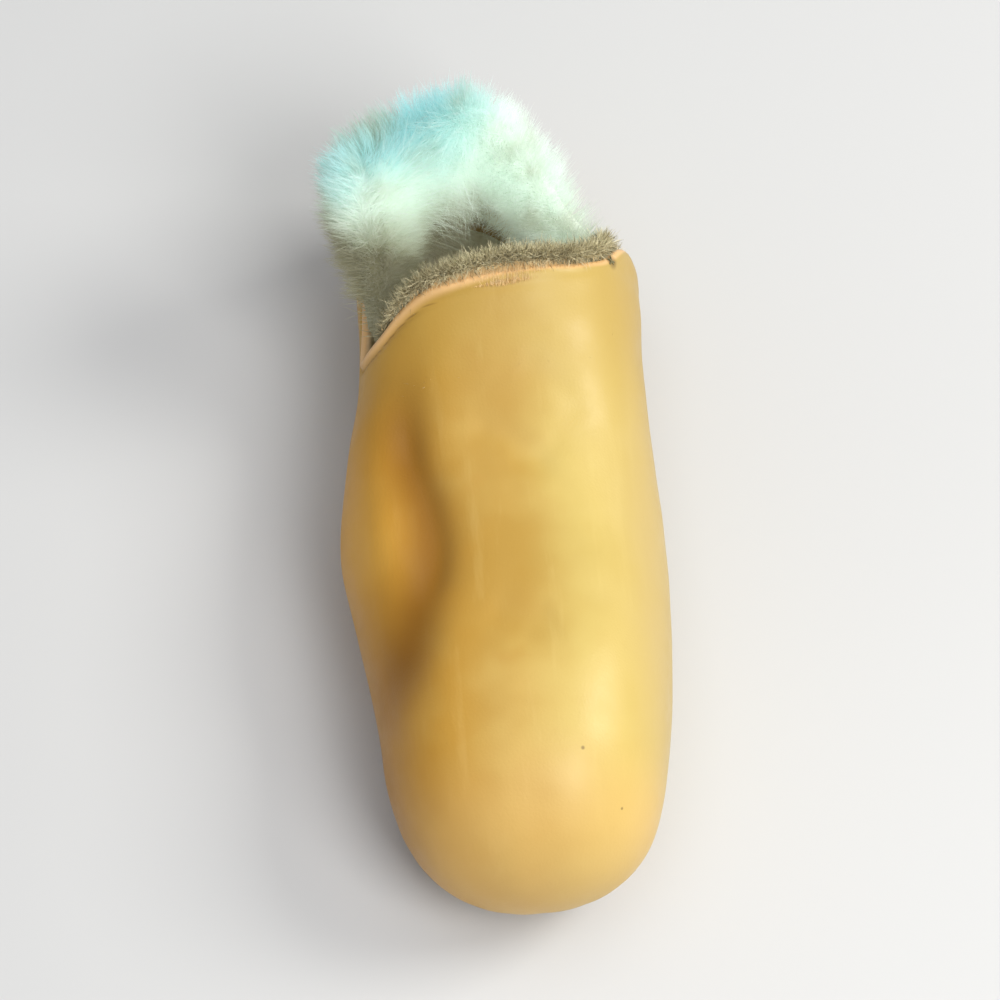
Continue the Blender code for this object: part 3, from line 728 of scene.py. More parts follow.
def cut_cord_holes(upper):
    """The two round holes through the leather where the cord comes out."""
    cutters = []
    for side in (-1, 1):
        route = cord_route(side)
        form = bmesh.new()
        bmesh.ops.create_cone(
            form, cap_ends=True, segments=32, radius1=CORD_HOLE / 2, radius2=CORD_HOLE / 2,
            depth=2.2 * CORD_DIAMETER
        )
        mesh = bpy.data.meshes.new("cord_hole")
        form.to_mesh(mesh)
        form.free()
        cutter = add_object("cord_hole", mesh)
        cutter.location = Vector(route[HOLE_ROW])
        turn_along(cutter, Vector(route[HOLE_ROW + 1] - route[HOLE_ROW - 1]), "Z")
        hole = upper.modifiers.new("cord_hole", "BOOLEAN")
        hole.operation = "DIFFERENCE"
        hole.solver = "EXACT"
        hole.object = cutter
        cutters.append(cutter)
    bpy.context.view_layer.update()
    cut = bpy.data.meshes.new_from_object(upper.evaluated_get(bpy.context.evaluated_depsgraph_get()))
    upper.modifiers.clear()
    upper.data = cut
    for cutter in cutters:
        bpy.data.objects.remove(cutter)


def make_leather(leather):
    """The upper: outer and inner face with a rounded raw edge at the collar."""
    surface = leather_surface()
    grid, normals, height = surface["grid"], surface["normals"], surface["height"]
    rows, around = grid.shape[:2]
    from_edge = edge_distance(grid)
    round_in = 0.00035 * np.exp(-from_edge / 0.0005)
    outer = grid + normals * (height - round_in)[:, :, None]
    room = PLEAT_ROOM * surface["pleats"] / max(PLEATS["depth"])
    inner = grid + normals * (height + surface["pleats"] - LEATHER - room + 0.8 * round_in)[:, :, None]
    beyond = unit(grid[-1] - grid[-3])
    lip = grid[-1] - normals[-1] * (LEATHER / 2) + beyond * 0.00018
    points = np.concatenate([outer.reshape(-1, 3), inner.reshape(-1, 3), lip])
    count = rows * around
    j = np.arange(around)
    k = (j + 1) % around
    top = (rows - 1) * around
    faces = [
        ring_quads(rows, around),
        ring_quads(rows, around, flip=True) + count,
        np.stack([top + j, 2 * count + j, 2 * count + k, top + k], axis=1),
        np.stack([2 * count + j, count + top + j, count + top + k, 2 * count + k], axis=1),
        np.stack([count + j, j, k, count + k], axis=1),
    ]
    made = make_mesh("leather_upper", points, np.concatenate(faces), leather)
    outer_part = ramp(-surface["grid"][:, :, 0], -0.006, 0.014)
    edge = np.exp(-((from_edge / (0.0010 + 0.0019 * outer_part)) ** 2))
    add_value(made, "edge", np.concatenate([edge.ravel(), np.ones(count), np.ones(around)]))
    inside = np.concatenate([np.zeros(count), np.ones(count), np.full(around, 0.5)])
    add_value(made, "inside", inside)
    # Painted shade of the valley, for the material
    deep = np.clip(surface["valley"], 0, 1)
    add_value(made, "painted_valley_shade", np.concatenate([deep.ravel(), np.zeros(count + around)]))
    # Painted shade in the pleats of the gathered edge and in the groove below the hem
    crease_shade = np.maximum(surface["pleats"] / max(PLEATS["depth"]), surface["hem_line"])
    add_value(made, "painted_crease_shade", np.concatenate([crease_shade.ravel(), np.zeros(count + around)]))
    cut_cord_holes(made)
    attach(made, "root")
    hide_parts("upper")
    return surface


def dress(name, points, faces, material, node):
    """A closed skin in place of one of the solids."""
    mesh = bpy.data.meshes.new(name)
    mesh.from_pydata([tuple(p) for p in points], [], faces)
    mesh.shade_smooth()
    mesh.materials.append(material)
    made = add_object(name, mesh)
    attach(made, "root")
    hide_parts(node)
    return made


def make_sole_looks(bag, sole_leather):
    """The sole again, closer sampled, with a softly rounded edge."""
    rings = (1.0, 0.96, 0.9, 0.82, 0.74, 0.65, 0.55)
    under, faces = sole_sheet(bag, 100, -SOLE_OVERLAP, 0.0, rings)
    normals = point_normals(under, faces)
    top = under - normals * SOLE_THICKNESS
    points, walls = closed_shell(under, top, faces)
    made = dress("soft_sole", points, walls, sole_leather, "sole")
    made.data.set_sharp_from_angle(angle=math.radians(50))


def make_insole_looks(bag, insole_wool):
    """The pile pad on the sole, with the values that its material reads."""
    rings = (1.0, 0.94, 0.85, 0.72, 0.55)
    under, faces = sole_sheet(bag, 80, INSOLE_MARGIN, SOLE_THICKNESS * 1.2 + CLEARANCE, rings)
    top = under + np.array([0.0, 0.0, INSOLE_THICKNESS])
    points, walls = closed_shell(under, top, faces)
    made = dress("insole_pad", points, walls, insole_wool, "insole")
    add_value(made, "tip", np.full(len(points), 0.6))
    add_value(made, "tone", np.full(len(points), 0.3))


def wool_core(bag):
    """The lining as a smooth closed band: a fine grid of section by place, and where each place lies."""
    along, around = cuff_places(bag, 170, 90)
    ring = cuff_sections(bag, along, around)
    rows = len(ring)
    fine_rows = 64
    at = np.arange(fine_rows) * rows / fine_rows
    i = np.floor(at).astype(int)
    t = (at - i)[:, None, None]
    p0, p1, p2, p3 = (ring[(i + n) % rows] for n in (-1, 0, 1, 2))
    square = 2 * p0 - 5 * p1 + 4 * p2 - p3
    cube = 3 * p1 - p0 - 3 * p2 + p3
    grid = 0.5 * (2 * p1 + (p2 - p0) * t + square * t**2 + cube * t**3)
    return grid, around, at


def strands(name, roots, directions, lengths, width, bends, material, segments=4):
    """Thin tapering curved ribbons, one for each root, as one mesh."""
    count = len(roots)
    random = np.random.default_rng(len(name) * 31 + count)
    side = unit(np.cross(directions, random.normal(size=(count, 3))))
    points = np.zeros((count, segments + 1, 2, 3))
    for n in range(segments + 1):
        t = n / segments
        middle = roots + directions * (lengths * t)[:, None] + bends * (t * t)
        half = side * (width * (1 - 0.85 * t**1.5) / 2)
        points[:, n, 0] = middle - half
        points[:, n, 1] = middle + half
    base = (np.arange(count) * (segments + 1) * 2)[:, None]
    quads = []
    for n in range(segments):
        a = base + 2 * n
        quads.append(np.concatenate([a, a + 1, a + 3, a + 2], axis=1))
    made = make_mesh(name, points.reshape(-1, 3), np.concatenate(quads), material)
    tip = np.broadcast_to((np.arange(segments + 1) / segments)[None, :, None], (count, segments + 1, 2))
    add_value(made, "tip", tip)
    tone = np.broadcast_to(random.uniform(0, 1, count)[:, None, None], (count, segments + 1, 2))
    add_value(made, "tone", tone)
    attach(made, "root")
    return made


def scatter(grid, normals, weights, count, seed):
    """Random places on a closed grid, more where the weights are higher."""
    random = np.random.default_rng(seed)
    rows, around = grid.shape[:2]
    right = np.roll(grid, -1, axis=1) - grid
    up = np.roll(grid, -1, axis=0) - grid
    area = np.linalg.norm(np.cross(right, up), axis=2) * weights
    chosen = random.choice(rows * around, size=count, p=(area / area.sum()).ravel())
    i, j = np.divmod(chosen, around)
    u = random.uniform(0, 1, count)[:, None]
    v = random.uniform(0, 1, count)[:, None]
    i2, j2 = (i + 1) % rows, (j + 1) % around
    below = grid[i, j] * (1 - u) + grid[i, j2] * u
    above = grid[i2, j] * (1 - u) + grid[i2, j2] * u
    place = below * (1 - v) + above * v
    return place, normals[i, j], i, j


def wool_zones(place):
    """How much painted cool light and painted shade the wool has at each place: an aqua tint of painted light
    outside and on top, olive painted shade low and outer.
    """
    wave = 0.004 * waves(place, 0.016, 21)
    x, y, z = place[..., 0], place[..., 1], place[..., 2]
    # Painted cool light: an aqua tint where the bluish light falls, outside and on top
    painted_cool_light = np.clip((y - 0.66 * x + 0.35 * (z - 0.045) + wave - 0.0528) / 0.010, 0, 1)
    # Painted shade: olive low and on the outer side, where the fleece goes down into the shoe's opening
    low = 0.0345 + 0.0120 * np.clip((-0.007 - x) / 0.008, 0, 1)
    olive = np.clip((low - z + 0.7 * wave) / 0.010, 0, 1) * np.clip((0.004 - x) / 0.010, 0.30, 1)
    return painted_cool_light, olive


def add_zones(made, place, repeat=1):
    painted_cool_light, olive = wool_zones(place)
    add_value(made, "painted_cool_light", np.repeat(painted_cool_light.ravel(), repeat))
    add_value(made, "olive", np.repeat(olive.ravel(), repeat))


def off_surface(lift, normal, least):
    """Directions of fibres that leave the surface at least this steeply."""
    into = (lift * normal).sum(axis=1)
    return unit(lift + normal * np.clip(least - into, 0, None)[:, None])


def combed(place, normal, spread, seed):
    """Directions of the fibres: brushed up and outwards, never into the pile below them."""
    random = np.random.default_rng(seed)
    outward = unit(place[:, :2] - np.array([bag_middle(0.12), bag_y(0.17)]))
    faces_out = (normal[:, :2] * outward).sum(axis=1)[:, None]
    splay = 0.50 * np.clip(faces_out, 0, 1) - 0.42 * np.clip(-faces_out, 0, 1) + 0.05
    brush = unit(np.column_stack([outward * splay, np.full(len(place), 0.85)]))
    lift = brush + normal * 0.42 + random.normal(size=place.shape) * spread
    return off_surface(lift, normal, 0.22)


def make_wool(bag, wool):
    """The lining: a soft core and combed fibres that gather in loose tufts."""
    grid, around, section = wool_core(bag)
    normals = grid_normals(grid, closed=True)
    rows, count = grid.shape[:2]
    high = eased(CUFF, "lock", around)[None, :]
    level = section[:, None]
    raised = ramp(level, 3.5, 5.0) * ramp(level, 14.5, 13.0)
    low_strip = (around <= 0.0)[None, :] * raised
    sunk = grid - normals * (0.0005 * low_strip)[:, :, None]
    sunk = sunk - normals * (0.0011 * raised * np.clip(high * 3, 0.2, 1))[:, :, None]
    sunk += normals * (0.0004 * waves(sunk, 0.006, 31) * raised * np.clip(high, 0, 1))[:, :, None]
    core = make_mesh("wool_core", sunk.reshape(-1, 3), ring_quads(rows, count, closed=True), wool)
    add_value(core, "tip", np.full(rows * count, 0.45))
    add_value(core, "tone", np.full(rows * count, 0.5))
    painted_cool_light, olive = wool_zones(sunk)
    # Across the throat the core is fully olive and without cool light: painted shade under the leather's edge
    throat = (around <= 0.01)[None, :]
    add_value(core, "painted_cool_light", np.where(throat, 0.0, painted_cool_light))
    add_value(core, "olive", np.where(throat, 1.0, olive))
    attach(core, "root")
    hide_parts("wool_cuff")

    random = np.random.default_rng(12)
    growth = eased(FIBRE, "long", around)
    growth = np.where(around > 0, growth, 0.0)
    weights = np.clip(growth, 0.0, 1.0)[None, :] * raised * (1 + 0.8 * (level > 8.5))
    tuft_place, tuft_normal, _, _ = scatter(sunk, normals, weights, TUFTS, 4)
    tuft_long = random.uniform(0.0045, 0.0068, TUFTS)[:, None]
    tuft_tip = tuft_place + combed(tuft_place, tuft_normal, 0.16, 5) * tuft_long
    for part in range(4):
        place, normal, _, j = scatter(sunk, normals, weights, FIBRES, 40 + part)
        nearest = nearest_of(place, tuft_place)
        long = 0.0038 + 0.0026 * random.uniform(0, 1, len(place)) ** 1.5
        size = np.clip(growth[j], 0.30, 1.2)
        long *= size
        lift = combed(place, normal, 0.20, 60 + part)
        free = place + lift * long[:, None]
        target = tuft_tip[nearest] + (place - tuft_place[nearest]) * 0.5
        pull = np.clip(random.normal(0.38, 0.22, len(place)), 0, 0.85)[:, None]
        bend = (target - free) * pull * size[:, None]
        bend += random.normal(size=place.shape) * 0.0005
        made = strands(f"wool_{part}", place - normal * 0.0004, lift, long, FIBRE_WIDTH, bend, wool)
        add_zones(made, place + lift * 0.002, 10)
    behind = np.exp(-(((around - 0.53) / 0.16) ** 4)) * (around > 0)
    deep_face = ramp(level, 8.6, 9.2) * ramp(level, 13.2, 12.4)
    place, normal, _, _ = scatter(sunk, normals, deep_face * behind[None, :], HEEL_FIBRES, 90)
    long = random.uniform(0.0060, 0.0105, len(place))
    lift = unit(normal * 0.55 + np.array([0.0, 0.0, 0.80]) + random.normal(size=place.shape) * 0.22)
    bend = normal * (long * 0.18)[:, None] + random.normal(size=place.shape) * 0.0009
    made = strands("wool_inner", place - normal * 0.0004, lift, long, HEEL_FIBRE_WIDTH, bend, wool)
    add_zones(made, place + lift * 0.004, 10)
    return grid, normals, around, section


def nearest_of(points, seeds):
    """Index of the nearest seed for each point."""
    best = np.zeros(len(points), dtype=int)
    for first in range(0, len(points), 4000):
        block = points[first : first + 4000]
        away = ((block[:, None, :] - seeds[None, :, :]) ** 2).sum(axis=2)
        best[first : first + 4000] = away.argmin(axis=1)
    return best


def make_edge_pile(grid, normals, around, section, wool, dark_wool):
    """The short pile of the lining along the throat, behind the leather's edge, and inside the shoe."""
    random = np.random.default_rng(77)
    level = section[:, None]
    raised = ramp(level, 2.9, 3.4) * ramp(level, 13.0, 12.0)
    raised = raised * (1 + 2.0 * np.exp(-(((level - 6.5) / 2.6) ** 2)))
    place, normal, _, _ = scatter(grid, normals, raised * (around[None, :] <= 0.02), EDGE_FIBRES, 78)
    long = random.uniform(0.0008, 0.0020, len(place))
    lift = normal * 0.7 + np.array([0.0, 0.30, 0.55]) + random.normal(size=place.shape) * 0.42
    lift = off_surface(lift, normal, 0.15)
    bend = random.normal(size=place.shape) * 0.0006
    made = strands("edge_pile", place - normal * 0.0002, lift, long, EDGE_FIBRE_WIDTH, bend, wool, 3)
    inner = ramp(level, 11.0, 12.0) * np.ones(len(around))[None, :]
    place, normal, _, _ = scatter(grid, normals, inner, INNER_FIBRES, 79)
    long = random.uniform(0.0012, 0.0028, len(place))
    lift = normal * 0.6 + random.normal(size=place.shape) * 0.6
    lift = off_surface(lift, normal, 0.2)
    bend = random.normal(size=place.shape) * 0.0006
    made = strands("inner_pile", place - normal * 0.0002, lift, long, INNER_FIBRE_WIDTH, bend, dark_wool, 2)


def tubes(name, routes, radius, material, sides=6):
    """Thin round threads along routes with the same number of points, as one mesh."""
    routes = np.asarray(routes)
    count, steps = routes.shape[:2]
    run = unit(np.gradient(routes, axis=1))
    across = unit(np.cross(run, np.array([0.31, 0.17, 0.93])))
    other = np.cross(run, across)
    turn = np.arange(sides) / sides * 2 * math.pi
    thin = np.ones(steps)
    thin[0] = thin[-1] = 0.35
    ring = across[:, :, None] * np.cos(turn)[:, None] + other[:, :, None] * np.sin(turn)[:, None]
    points = routes[:, :, None] + ring * (radius * thin)[None, :, None, None]
    base = (np.arange(count) * steps * sides)[:, None]
    quads = []
    for s in range(steps - 1):
        for n in range(sides):
            m = (n + 1) % sides
            a, b = s * sides + n, s * sides + m
            quads.append(np.concatenate([base + a, base + b, base + b + sides, base + a + sides], axis=1))
    made = make_mesh(name, points.reshape(-1, 3), np.concatenate(quads), material)
    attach(made, "root")
    return made


def make_stitches(surface, thread):
    """Whip stitches that close the leather onto the sole."""
    grid, normals = surface["grid"], surface["normals"]
    bag, along = surface["bag"], surface["along"]
    stops = (np.arange(SEAM_STITCHES) + 0.5) / SEAM_STITCHES * bag["total"]
    seam, seam_share = matching_sole_edge(bag, stops)
    routes = []
    for stop, point, share in zip(stops, seam, seam_share):
        j = int(np.argmin(np.abs(along - stop)))
        spine = float(np.clip(share, 0.14, 0.82))
        inward = np.append(unit(np.array([bag_middle(spine), sole_y(spine)]) - point), 0.0)
        z = float(sole_z(share, 1.0))
        upper_end = grid[2, j] + normals[2, j] * 0.0001
        edge = np.array([point[0], point[1], z])
        outside = edge - inward * 0.0006 + np.array([0.0, 0.0, -0.0002])
        below = edge + inward * 0.0008 + np.array([0.0, 0.0, -0.00045])
        last = edge + inward * 0.0019 + np.array([0.0, 0.0, 0.0002])
        stop_points = np.array([upper_end, outside, below, last])
        at = np.linspace(0, 3, 9)
        routes.append(np.column_stack([np.interp(at, np.arange(4), stop_points[:, n]) for n in range(3)]))
    made = tubes("seam_stitches", routes, SEAM_THREAD_RADIUS, thread)


def make_corner_thread(thread):
    """Loose ends of dark thread in the stitch hole at the throat's inner corner."""
    across, along, radius = STITCH_HOLE
    routes = []
    for turn, reach in ((0.3, 0.6), (1.7, 1.2), (2.6, 0.7), (4.2, 0.8), (5.4, 0.5)):
        x = across + np.linspace(-0.3, 1.0, 7) * reach * radius * math.cos(turn)
        y = along + np.linspace(-0.3, 1.0, 7) * reach * radius * math.sin(turn)
        lift = 0.00010 + 0.00045 * np.sin(np.linspace(0, math.pi, 7))
        z = crown_z(x, share_at(y)) + lift
        routes.append(np.column_stack([x, y, z]))
    made = tubes("corner_thread", routes, CORNER_THREAD_RADIUS, thread)


def make_hem_nap(surface, nap):
    """Short napped fibres on the leather's cut edge at the throat."""
    random = np.random.default_rng(55)
    grid, normals = surface["grid"], surface["normals"]
    x = grid[-1, :, 0]
    front = (grid[-1, :, 1] < bag_y(THROAT["share"][0] + 0.008)) & (grid[-1, :, 1] > bag_y(0.30))
    middle = np.exp(-(((x - 0.0030) / 0.0080) ** 2))
    chance = front * middle
    j = random.choice(len(x), size=NAP_FIBRES, p=chance / chance.sum())
    k = (j + 1) % len(x)
    t = random.uniform(0, 1, (len(j), 1))
    back = random.uniform(0, 1, len(j)) ** 1.5 * (0.0006 + 0.0022 * middle[j])
    climb = edge_distance(grid)
    place = np.zeros((len(j), 3))
    for n in range(len(j)):
        for axis in range(3):
            here = np.interp(back[n], climb[::-1, j[n]], grid[::-1, j[n], axis])
            there = np.interp(back[n], climb[::-1, k[n]], grid[::-1, k[n], axis])
            place[n, axis] = here * (1 - t[n, 0]) + there * t[n, 0]
    normal = normals[-1, j]
    lift = unit(normal * 0.22 + np.array([0.0, 0.9, 0.15]) + random.normal(size=place.shape) * 0.13)
    long = random.uniform(0.0007, 0.0016, len(j))
    bend = random.normal(size=place.shape) * 0.0001
    made = strands("hem_nap", place + normal * 0.0001, lift, long, NAP_WIDTH, bend, nap, 2)


def make_cord_looks(cord):
    """The drawcord as strands twisted round its middle, with blunt ends."""
    route = np.vstack([cord_route(-1)[:0:-1], cord_route(1)])
    middle = np.array(smooth_route(route, 0.0004))
    run = unit(np.gradient(middle, axis=0))
    up = np.array([0.0, 0.0, 1.0])
    side = unit(np.cross(run, up))
    top = np.cross(side, run)
    steps = np.linalg.norm(np.diff(middle, axis=0), axis=1)
    at = np.concatenate([[0], np.cumsum(steps)])
    total = at[-1]
    around = 20
    turn = np.arange(around) / around * 2 * math.pi
    twist = at[:, None] / 0.0046 * 2 * math.pi
    lobes = 1 + 0.09 * np.cos(3 * (turn[None, :] - twist))
    end = np.minimum(at, total - at)[:, None]
    blunt = np.sqrt(np.clip(1 - (1 - np.clip(end / 0.0011, 0, 1)) ** 2, 0.02, 1))
    radius = (CORD_DIAMETER / 2) * 0.94 * lobes * blunt
    points = middle[:, None, :] + side[:, None, :] * (np.cos(turn)[None, :] * radius)[:, :, None]
    points = points + top[:, None, :] * (np.sin(turn)[None, :] * radius)[:, :, None]
    rows = len(middle)
    i, j = np.meshgrid(np.arange(rows - 1), np.arange(around), indexing="ij")
    k = (j + 1) % around
    quads = np.stack([i * around + j, i * around + k, (i + 1) * around + k, (i + 1) * around + j], axis=-1)
    count = rows * around
    all_points = np.concatenate([points.reshape(-1, 3), middle[:1], middle[-1:]])
    j = np.arange(around)
    k = (j + 1) % around
    last_row = (rows - 1) * around
    faces = [tuple(q) for q in quads.reshape(-1, 4)]
    faces += [(count, int(b), int(a)) for a, b in zip(j, k)]
    faces += [(count + 1, int(last_row + a), int(last_row + b)) for a, b in zip(j, k)]
    made = dress("draw_cord_looks", all_points, faces, cord, "draw_cord")


def node_material(name):
    """A new material with its node tree, its shader and the object's own coordinates."""
    material = bpy.data.materials.new(name)
    material.use_nodes = True
    tree = material.node_tree
    shader = tree.nodes["Principled BSDF"]
    where = tree.nodes.new("ShaderNodeTexCoord").outputs["Object"]
    return material, tree, shader, where


def put(tree, socket, value):
    """Links a socket to another one, or sets it to a number or a colour."""
    if isinstance(value, bpy.types.NodeSocket):
        tree.links.new(value, socket)
    elif isinstance(value, tuple):
        socket.default_value = (*value, 1.0)
    else:
        socket.default_value = value


def set_inputs(tree, node, **inputs):
    """Sets or links the named inputs of a node, with _ for a space."""
    for key, value in inputs.items():
        put(tree, node.inputs[key.replace("_", " ")], value)


def add_node(tree, kind, **inputs):
    node = tree.nodes.new(kind)
    set_inputs(tree, node, **inputs)
    return node


def noise(tree, where, scale, detail=3.0, roughness=0.55):
    node = add_node(
        tree, "ShaderNodeTexNoise", Vector=where, Scale=scale, Detail=detail, Roughness=roughness
    )
    return node.outputs["Fac"]


def between(tree, value, low, high, to_low=0.0, to_high=1.0):
    """A value eased from one range to another."""
    node = add_node(
        tree, "ShaderNodeMapRange", Value=value, From_Min=low, From_Max=high, To_Min=to_low, To_Max=to_high
    )
    node.interpolation_type = "SMOOTHSTEP"
    return node.outputs["Result"]


def mix(tree, amount, first, second):
    node = tree.nodes.new("ShaderNodeMix")
    node.data_type = "RGBA"
    for index, value in ((0, amount), (6, first), (7, second)):
        put(tree, node.inputs[index], value)
    return node.outputs[2]


def maths(tree, operation, first, second=0.0):
    node = tree.nodes.new("ShaderNodeMath")
    node.operation = operation
    for index, value in enumerate((first, second)):
        put(tree, node.inputs[index], value)
    return node.outputs[0]


def reading(tree, name):
    node = tree.nodes.new("ShaderNodeAttribute")
    node.attribute_name = name
    return node.outputs["Fac"]


def add_bump(tree, shader, height, strength, distance):
    bump = add_node(tree, "ShaderNodeBump", Height=height, Strength=strength, Distance=distance)
    set_inputs(tree, shader, Normal=bump.outputs["Normal"])


def dark_spot(tree, where, centre, radius):
    """1 in the middle of a small mark on the leather and 0 outside it."""
    away = tree.nodes.new("ShaderNodeVectorMath")
    away.operation = "DISTANCE"
    tree.links.new(where, away.inputs[0])
    away.inputs[1].default_value = centre
    return between(tree, away.outputs["Value"], radius * 1.5, radius * 0.4, 0.0, 0.60)


def leather_looks():
    material, tree, shader, where = node_material("leather_looks")
    large = noise(tree, where, 38.0, 3.0, 0.6)
    middle = noise(tree, where, 130.0, 4.0, 0.6)
    fine = noise(tree, where, 900.0, 2.0, 0.6)
    parts = add_node(tree, "ShaderNodeSeparateXYZ", Vector=where)
    streaks = add_node(tree, "ShaderNodeMapping", Vector=where)
    streaks.inputs["Scale"].default_value = (1.5, 0.16, 0.6)
    streaked = noise(tree, streaks.outputs["Vector"], 210.0, 4.0, 0.6)
    base = mix(tree, between(tree, large, 0.36, 0.66), (0.49, 0.290, 0.054), (0.59, 0.385, 0.094))
    base = mix(tree, between(tree, streaked, 0.52, 0.78, 0.0, 0.30), base, (0.74, 0.54, 0.19))
    base = mix(tree, between(tree, middle, 0.46, 0.26, 0.0, 0.25), base, (0.52, 0.28, 0.05))
    sideways = maths(tree, "ADD", parts.outputs["X"], maths(tree, "MULTIPLY", large, 0.010))
    # Deeper orange over the outer side: partly the leather's own tone, partly painted shade of the side away
    # from the light
    outer = between(tree, sideways, 0.004, -0.014, 0.0, 0.62)
    base = mix(tree, outer, base, (0.78, 0.37, 0.030))
    # Paler over the inner side: partly the leather's own tone, partly painted light on the side the light
    # falls on
    inner = between(tree, sideways, 0.004, 0.018, 0.0, 0.60)
    base = mix(tree, inner, base, (0.63, 0.51, 0.16))
    # Painted shade: darker along the far inner edge, where the vamp turns away
    base = mix(tree, between(tree, sideways, 0.020, 0.030, 0.0, 0.65), base, (0.50, 0.36, 0.15))
    toe = between(tree, parts.outputs["Y"], -0.040, -0.056, 0.0, 0.55)
    base = mix(tree, toe, base, (0.74, 0.46, 0.15))
    # Painted shade: dark brown along the vamp's valley
    base = mix(tree, maths(tree, "MULTIPLY", reading(tree, "painted_valley_shade"), 0.84), base, (0.21, 0.080, 0.001))
    # Painted shade: dark brown over the outer side towards the toe, where the vamp turns from the light
    outer_toe_shade = between(tree, sideways, -0.006, -0.020, 0.0, 0.66)
    front = between(tree, parts.outputs["Y"], -0.004, -0.034)
    base = mix(tree, maths(tree, "MULTIPLY", outer_toe_shade, front), base, (0.30, 0.110, 0.003))
    back = between(tree, parts.outputs["Y"], 0.006, 0.032, 0.0, 0.55)
    base = mix(tree, back, base, (0.44, 0.28, 0.055))
    # Painted shade: dark brown in the pleats and in the groove below the hem
    base = mix(tree, between(tree, reading(tree, "painted_crease_shade"), 0.55, 1.0, 0.0, 0.6), base, (0.16, 0.07, 0.015))
    edge = reading(tree, "edge")
    base = mix(tree, between(tree, edge, 0.25, 0.85, 0.0, 0.85), base, (0.84, 0.52, 0.24))
    # Dark specks, and a disc of painted shade for the stitch hole
    for across, along, radius in (*SPECKS, STITCH_HOLE):
        height = float(crown_z(np.array(across), np.array(share_at(along))))
        base = mix(tree, dark_spot(tree, where, (across, along, height), radius), base, (0.10, 0.05, 0.015))
    base = mix(tree, reading(tree, "inside"), base, (0.62, 0.50, 0.33))
    rough = between(tree, middle, 0.3, 0.7, 0.34, 0.46)
    set_inputs(tree, shader, Base_Color=base, Roughness=rough, Specular_IOR_Level=0.36)
    cells = add_node(tree, "ShaderNodeTexVoronoi", Vector=where, Scale=1500.0)
    cells.feature = "DISTANCE_TO_EDGE"
    grain = maths(tree, "MULTIPLY", cells.outputs["Distance"], 0.7)
    grain = maths(tree, "ADD", grain, maths(tree, "MULTIPLY", fine, 0.5))
    grain = maths(tree, "ADD", grain, maths(tree, "MULTIPLY", middle, 0.9))
    add_bump(tree, shader, grain, 0.06, 0.0005)
    return material


def suede_looks():
    material, tree, shader, where = node_material("sole_leather_looks")
    large = noise(tree, where, 60.0, 4.0, 0.6)
    fine = noise(tree, where, 1200.0, 3.0, 0.7)
    base = mix(tree, between(tree, large, 0.35, 0.65), (0.47, 0.29, 0.11), (0.62, 0.42, 0.19))
    base = mix(tree, between(tree, fine, 0.45, 0.7, 0.0, 0.4), base, (0.70, 0.50, 0.26))
    set_inputs(tree, shader, Base_Color=base, Roughness=0.85)
    add_bump(tree, shader, fine, 0.3, 0.0004)
    return material


def wool_looks(name, white, aqua, olive, root_shade):
    """Wool with an aqua zone of painted cool light, an olive zone of painted shade and olive patches at
    random, and painted shade at its roots.
    """
    material, tree, shader, where = node_material(name)
    patch = noise(tree, where, 140.0, 3.0, 0.6)
    # Painted cool light: aqua over the outer face and top
    base = mix(tree, reading(tree, "painted_cool_light"), white, aqua)
    # Painted shade: olive low and outer, darkest where it is deepest
    base = mix(tree, maths(tree, "MULTIPLY", reading(tree, "olive"), 0.85), base, olive)
    base = mix(tree, between(tree, patch, 0.45, 0.75, 0.0, 0.36), base, olive)
    # Painted shade at the fibres' roots, deep in the pile
    base = mix(tree, between(tree, reading(tree, "tip"), 0.5, 0.0, 0.0, root_shade), base, olive)
    deepest_shade = between(tree, reading(tree, "olive"), 0.75, 1.0, 0.0, 0.40)
    base = mix(tree, deepest_shade, base, (0.25, 0.20, 0.10))
    bright = between(tree, reading(tree, "tone"), 0.5, 1.0, 0.0, 0.25)
    bright = maths(tree, "MULTIPLY", bright, maths(tree, "SUBTRACT", 1.0, deepest_shade))
    base = mix(tree, bright, base, (0.88, 1.0, 0.95))
    set_inputs(tree, shader, Base_Color=base, Roughness=0.9, Specular_IOR_Level=0.15)
    set_inputs(tree, shader, Sheen_Weight=0.6, Sheen_Roughness=0.5)
    # Painted light: a faint glow of the wool's own colour, standing in for light scattered through the fleece
    set_inputs(tree, shader, Emission_Color=base, Emission_Strength=0.21)
    through = add_node(tree, "ShaderNodeBsdfTranslucent", Color=base)
    both = add_node(tree, "ShaderNodeMixShader", Fac=0.45)
    put(tree, both.inputs[1], shader.outputs["BSDF"])
    put(tree, both.inputs[2], through.outputs["BSDF"])
    set_inputs(tree, tree.nodes["Material Output"], Surface=both.outputs["Shader"])
    return material


def pile_looks(name, root, tips, dark_tips):
    """Short beige pile, with some hairs that end in dark tips."""
    material, tree, shader, where = node_material(name)
    patch = noise(tree, where, 220.0, 3.0, 0.6)
    tip = reading(tree, "tip")
    base = mix(tree, between(tree, tip, 0.0, 0.6), root, tips)
    base = mix(tree, between(tree, patch, 0.4, 0.7, 0.0, 0.5), base, root)
    chosen = between(tree, reading(tree, "tone"), 0.70, 0.75)
    base = mix(tree, maths(tree, "MULTIPLY", chosen, between(tree, tip, 0.35, 0.8)), base, dark_tips)
    set_inputs(tree, shader, Base_Color=base, Roughness=0.9, Specular_IOR_Level=0.15)
    return material


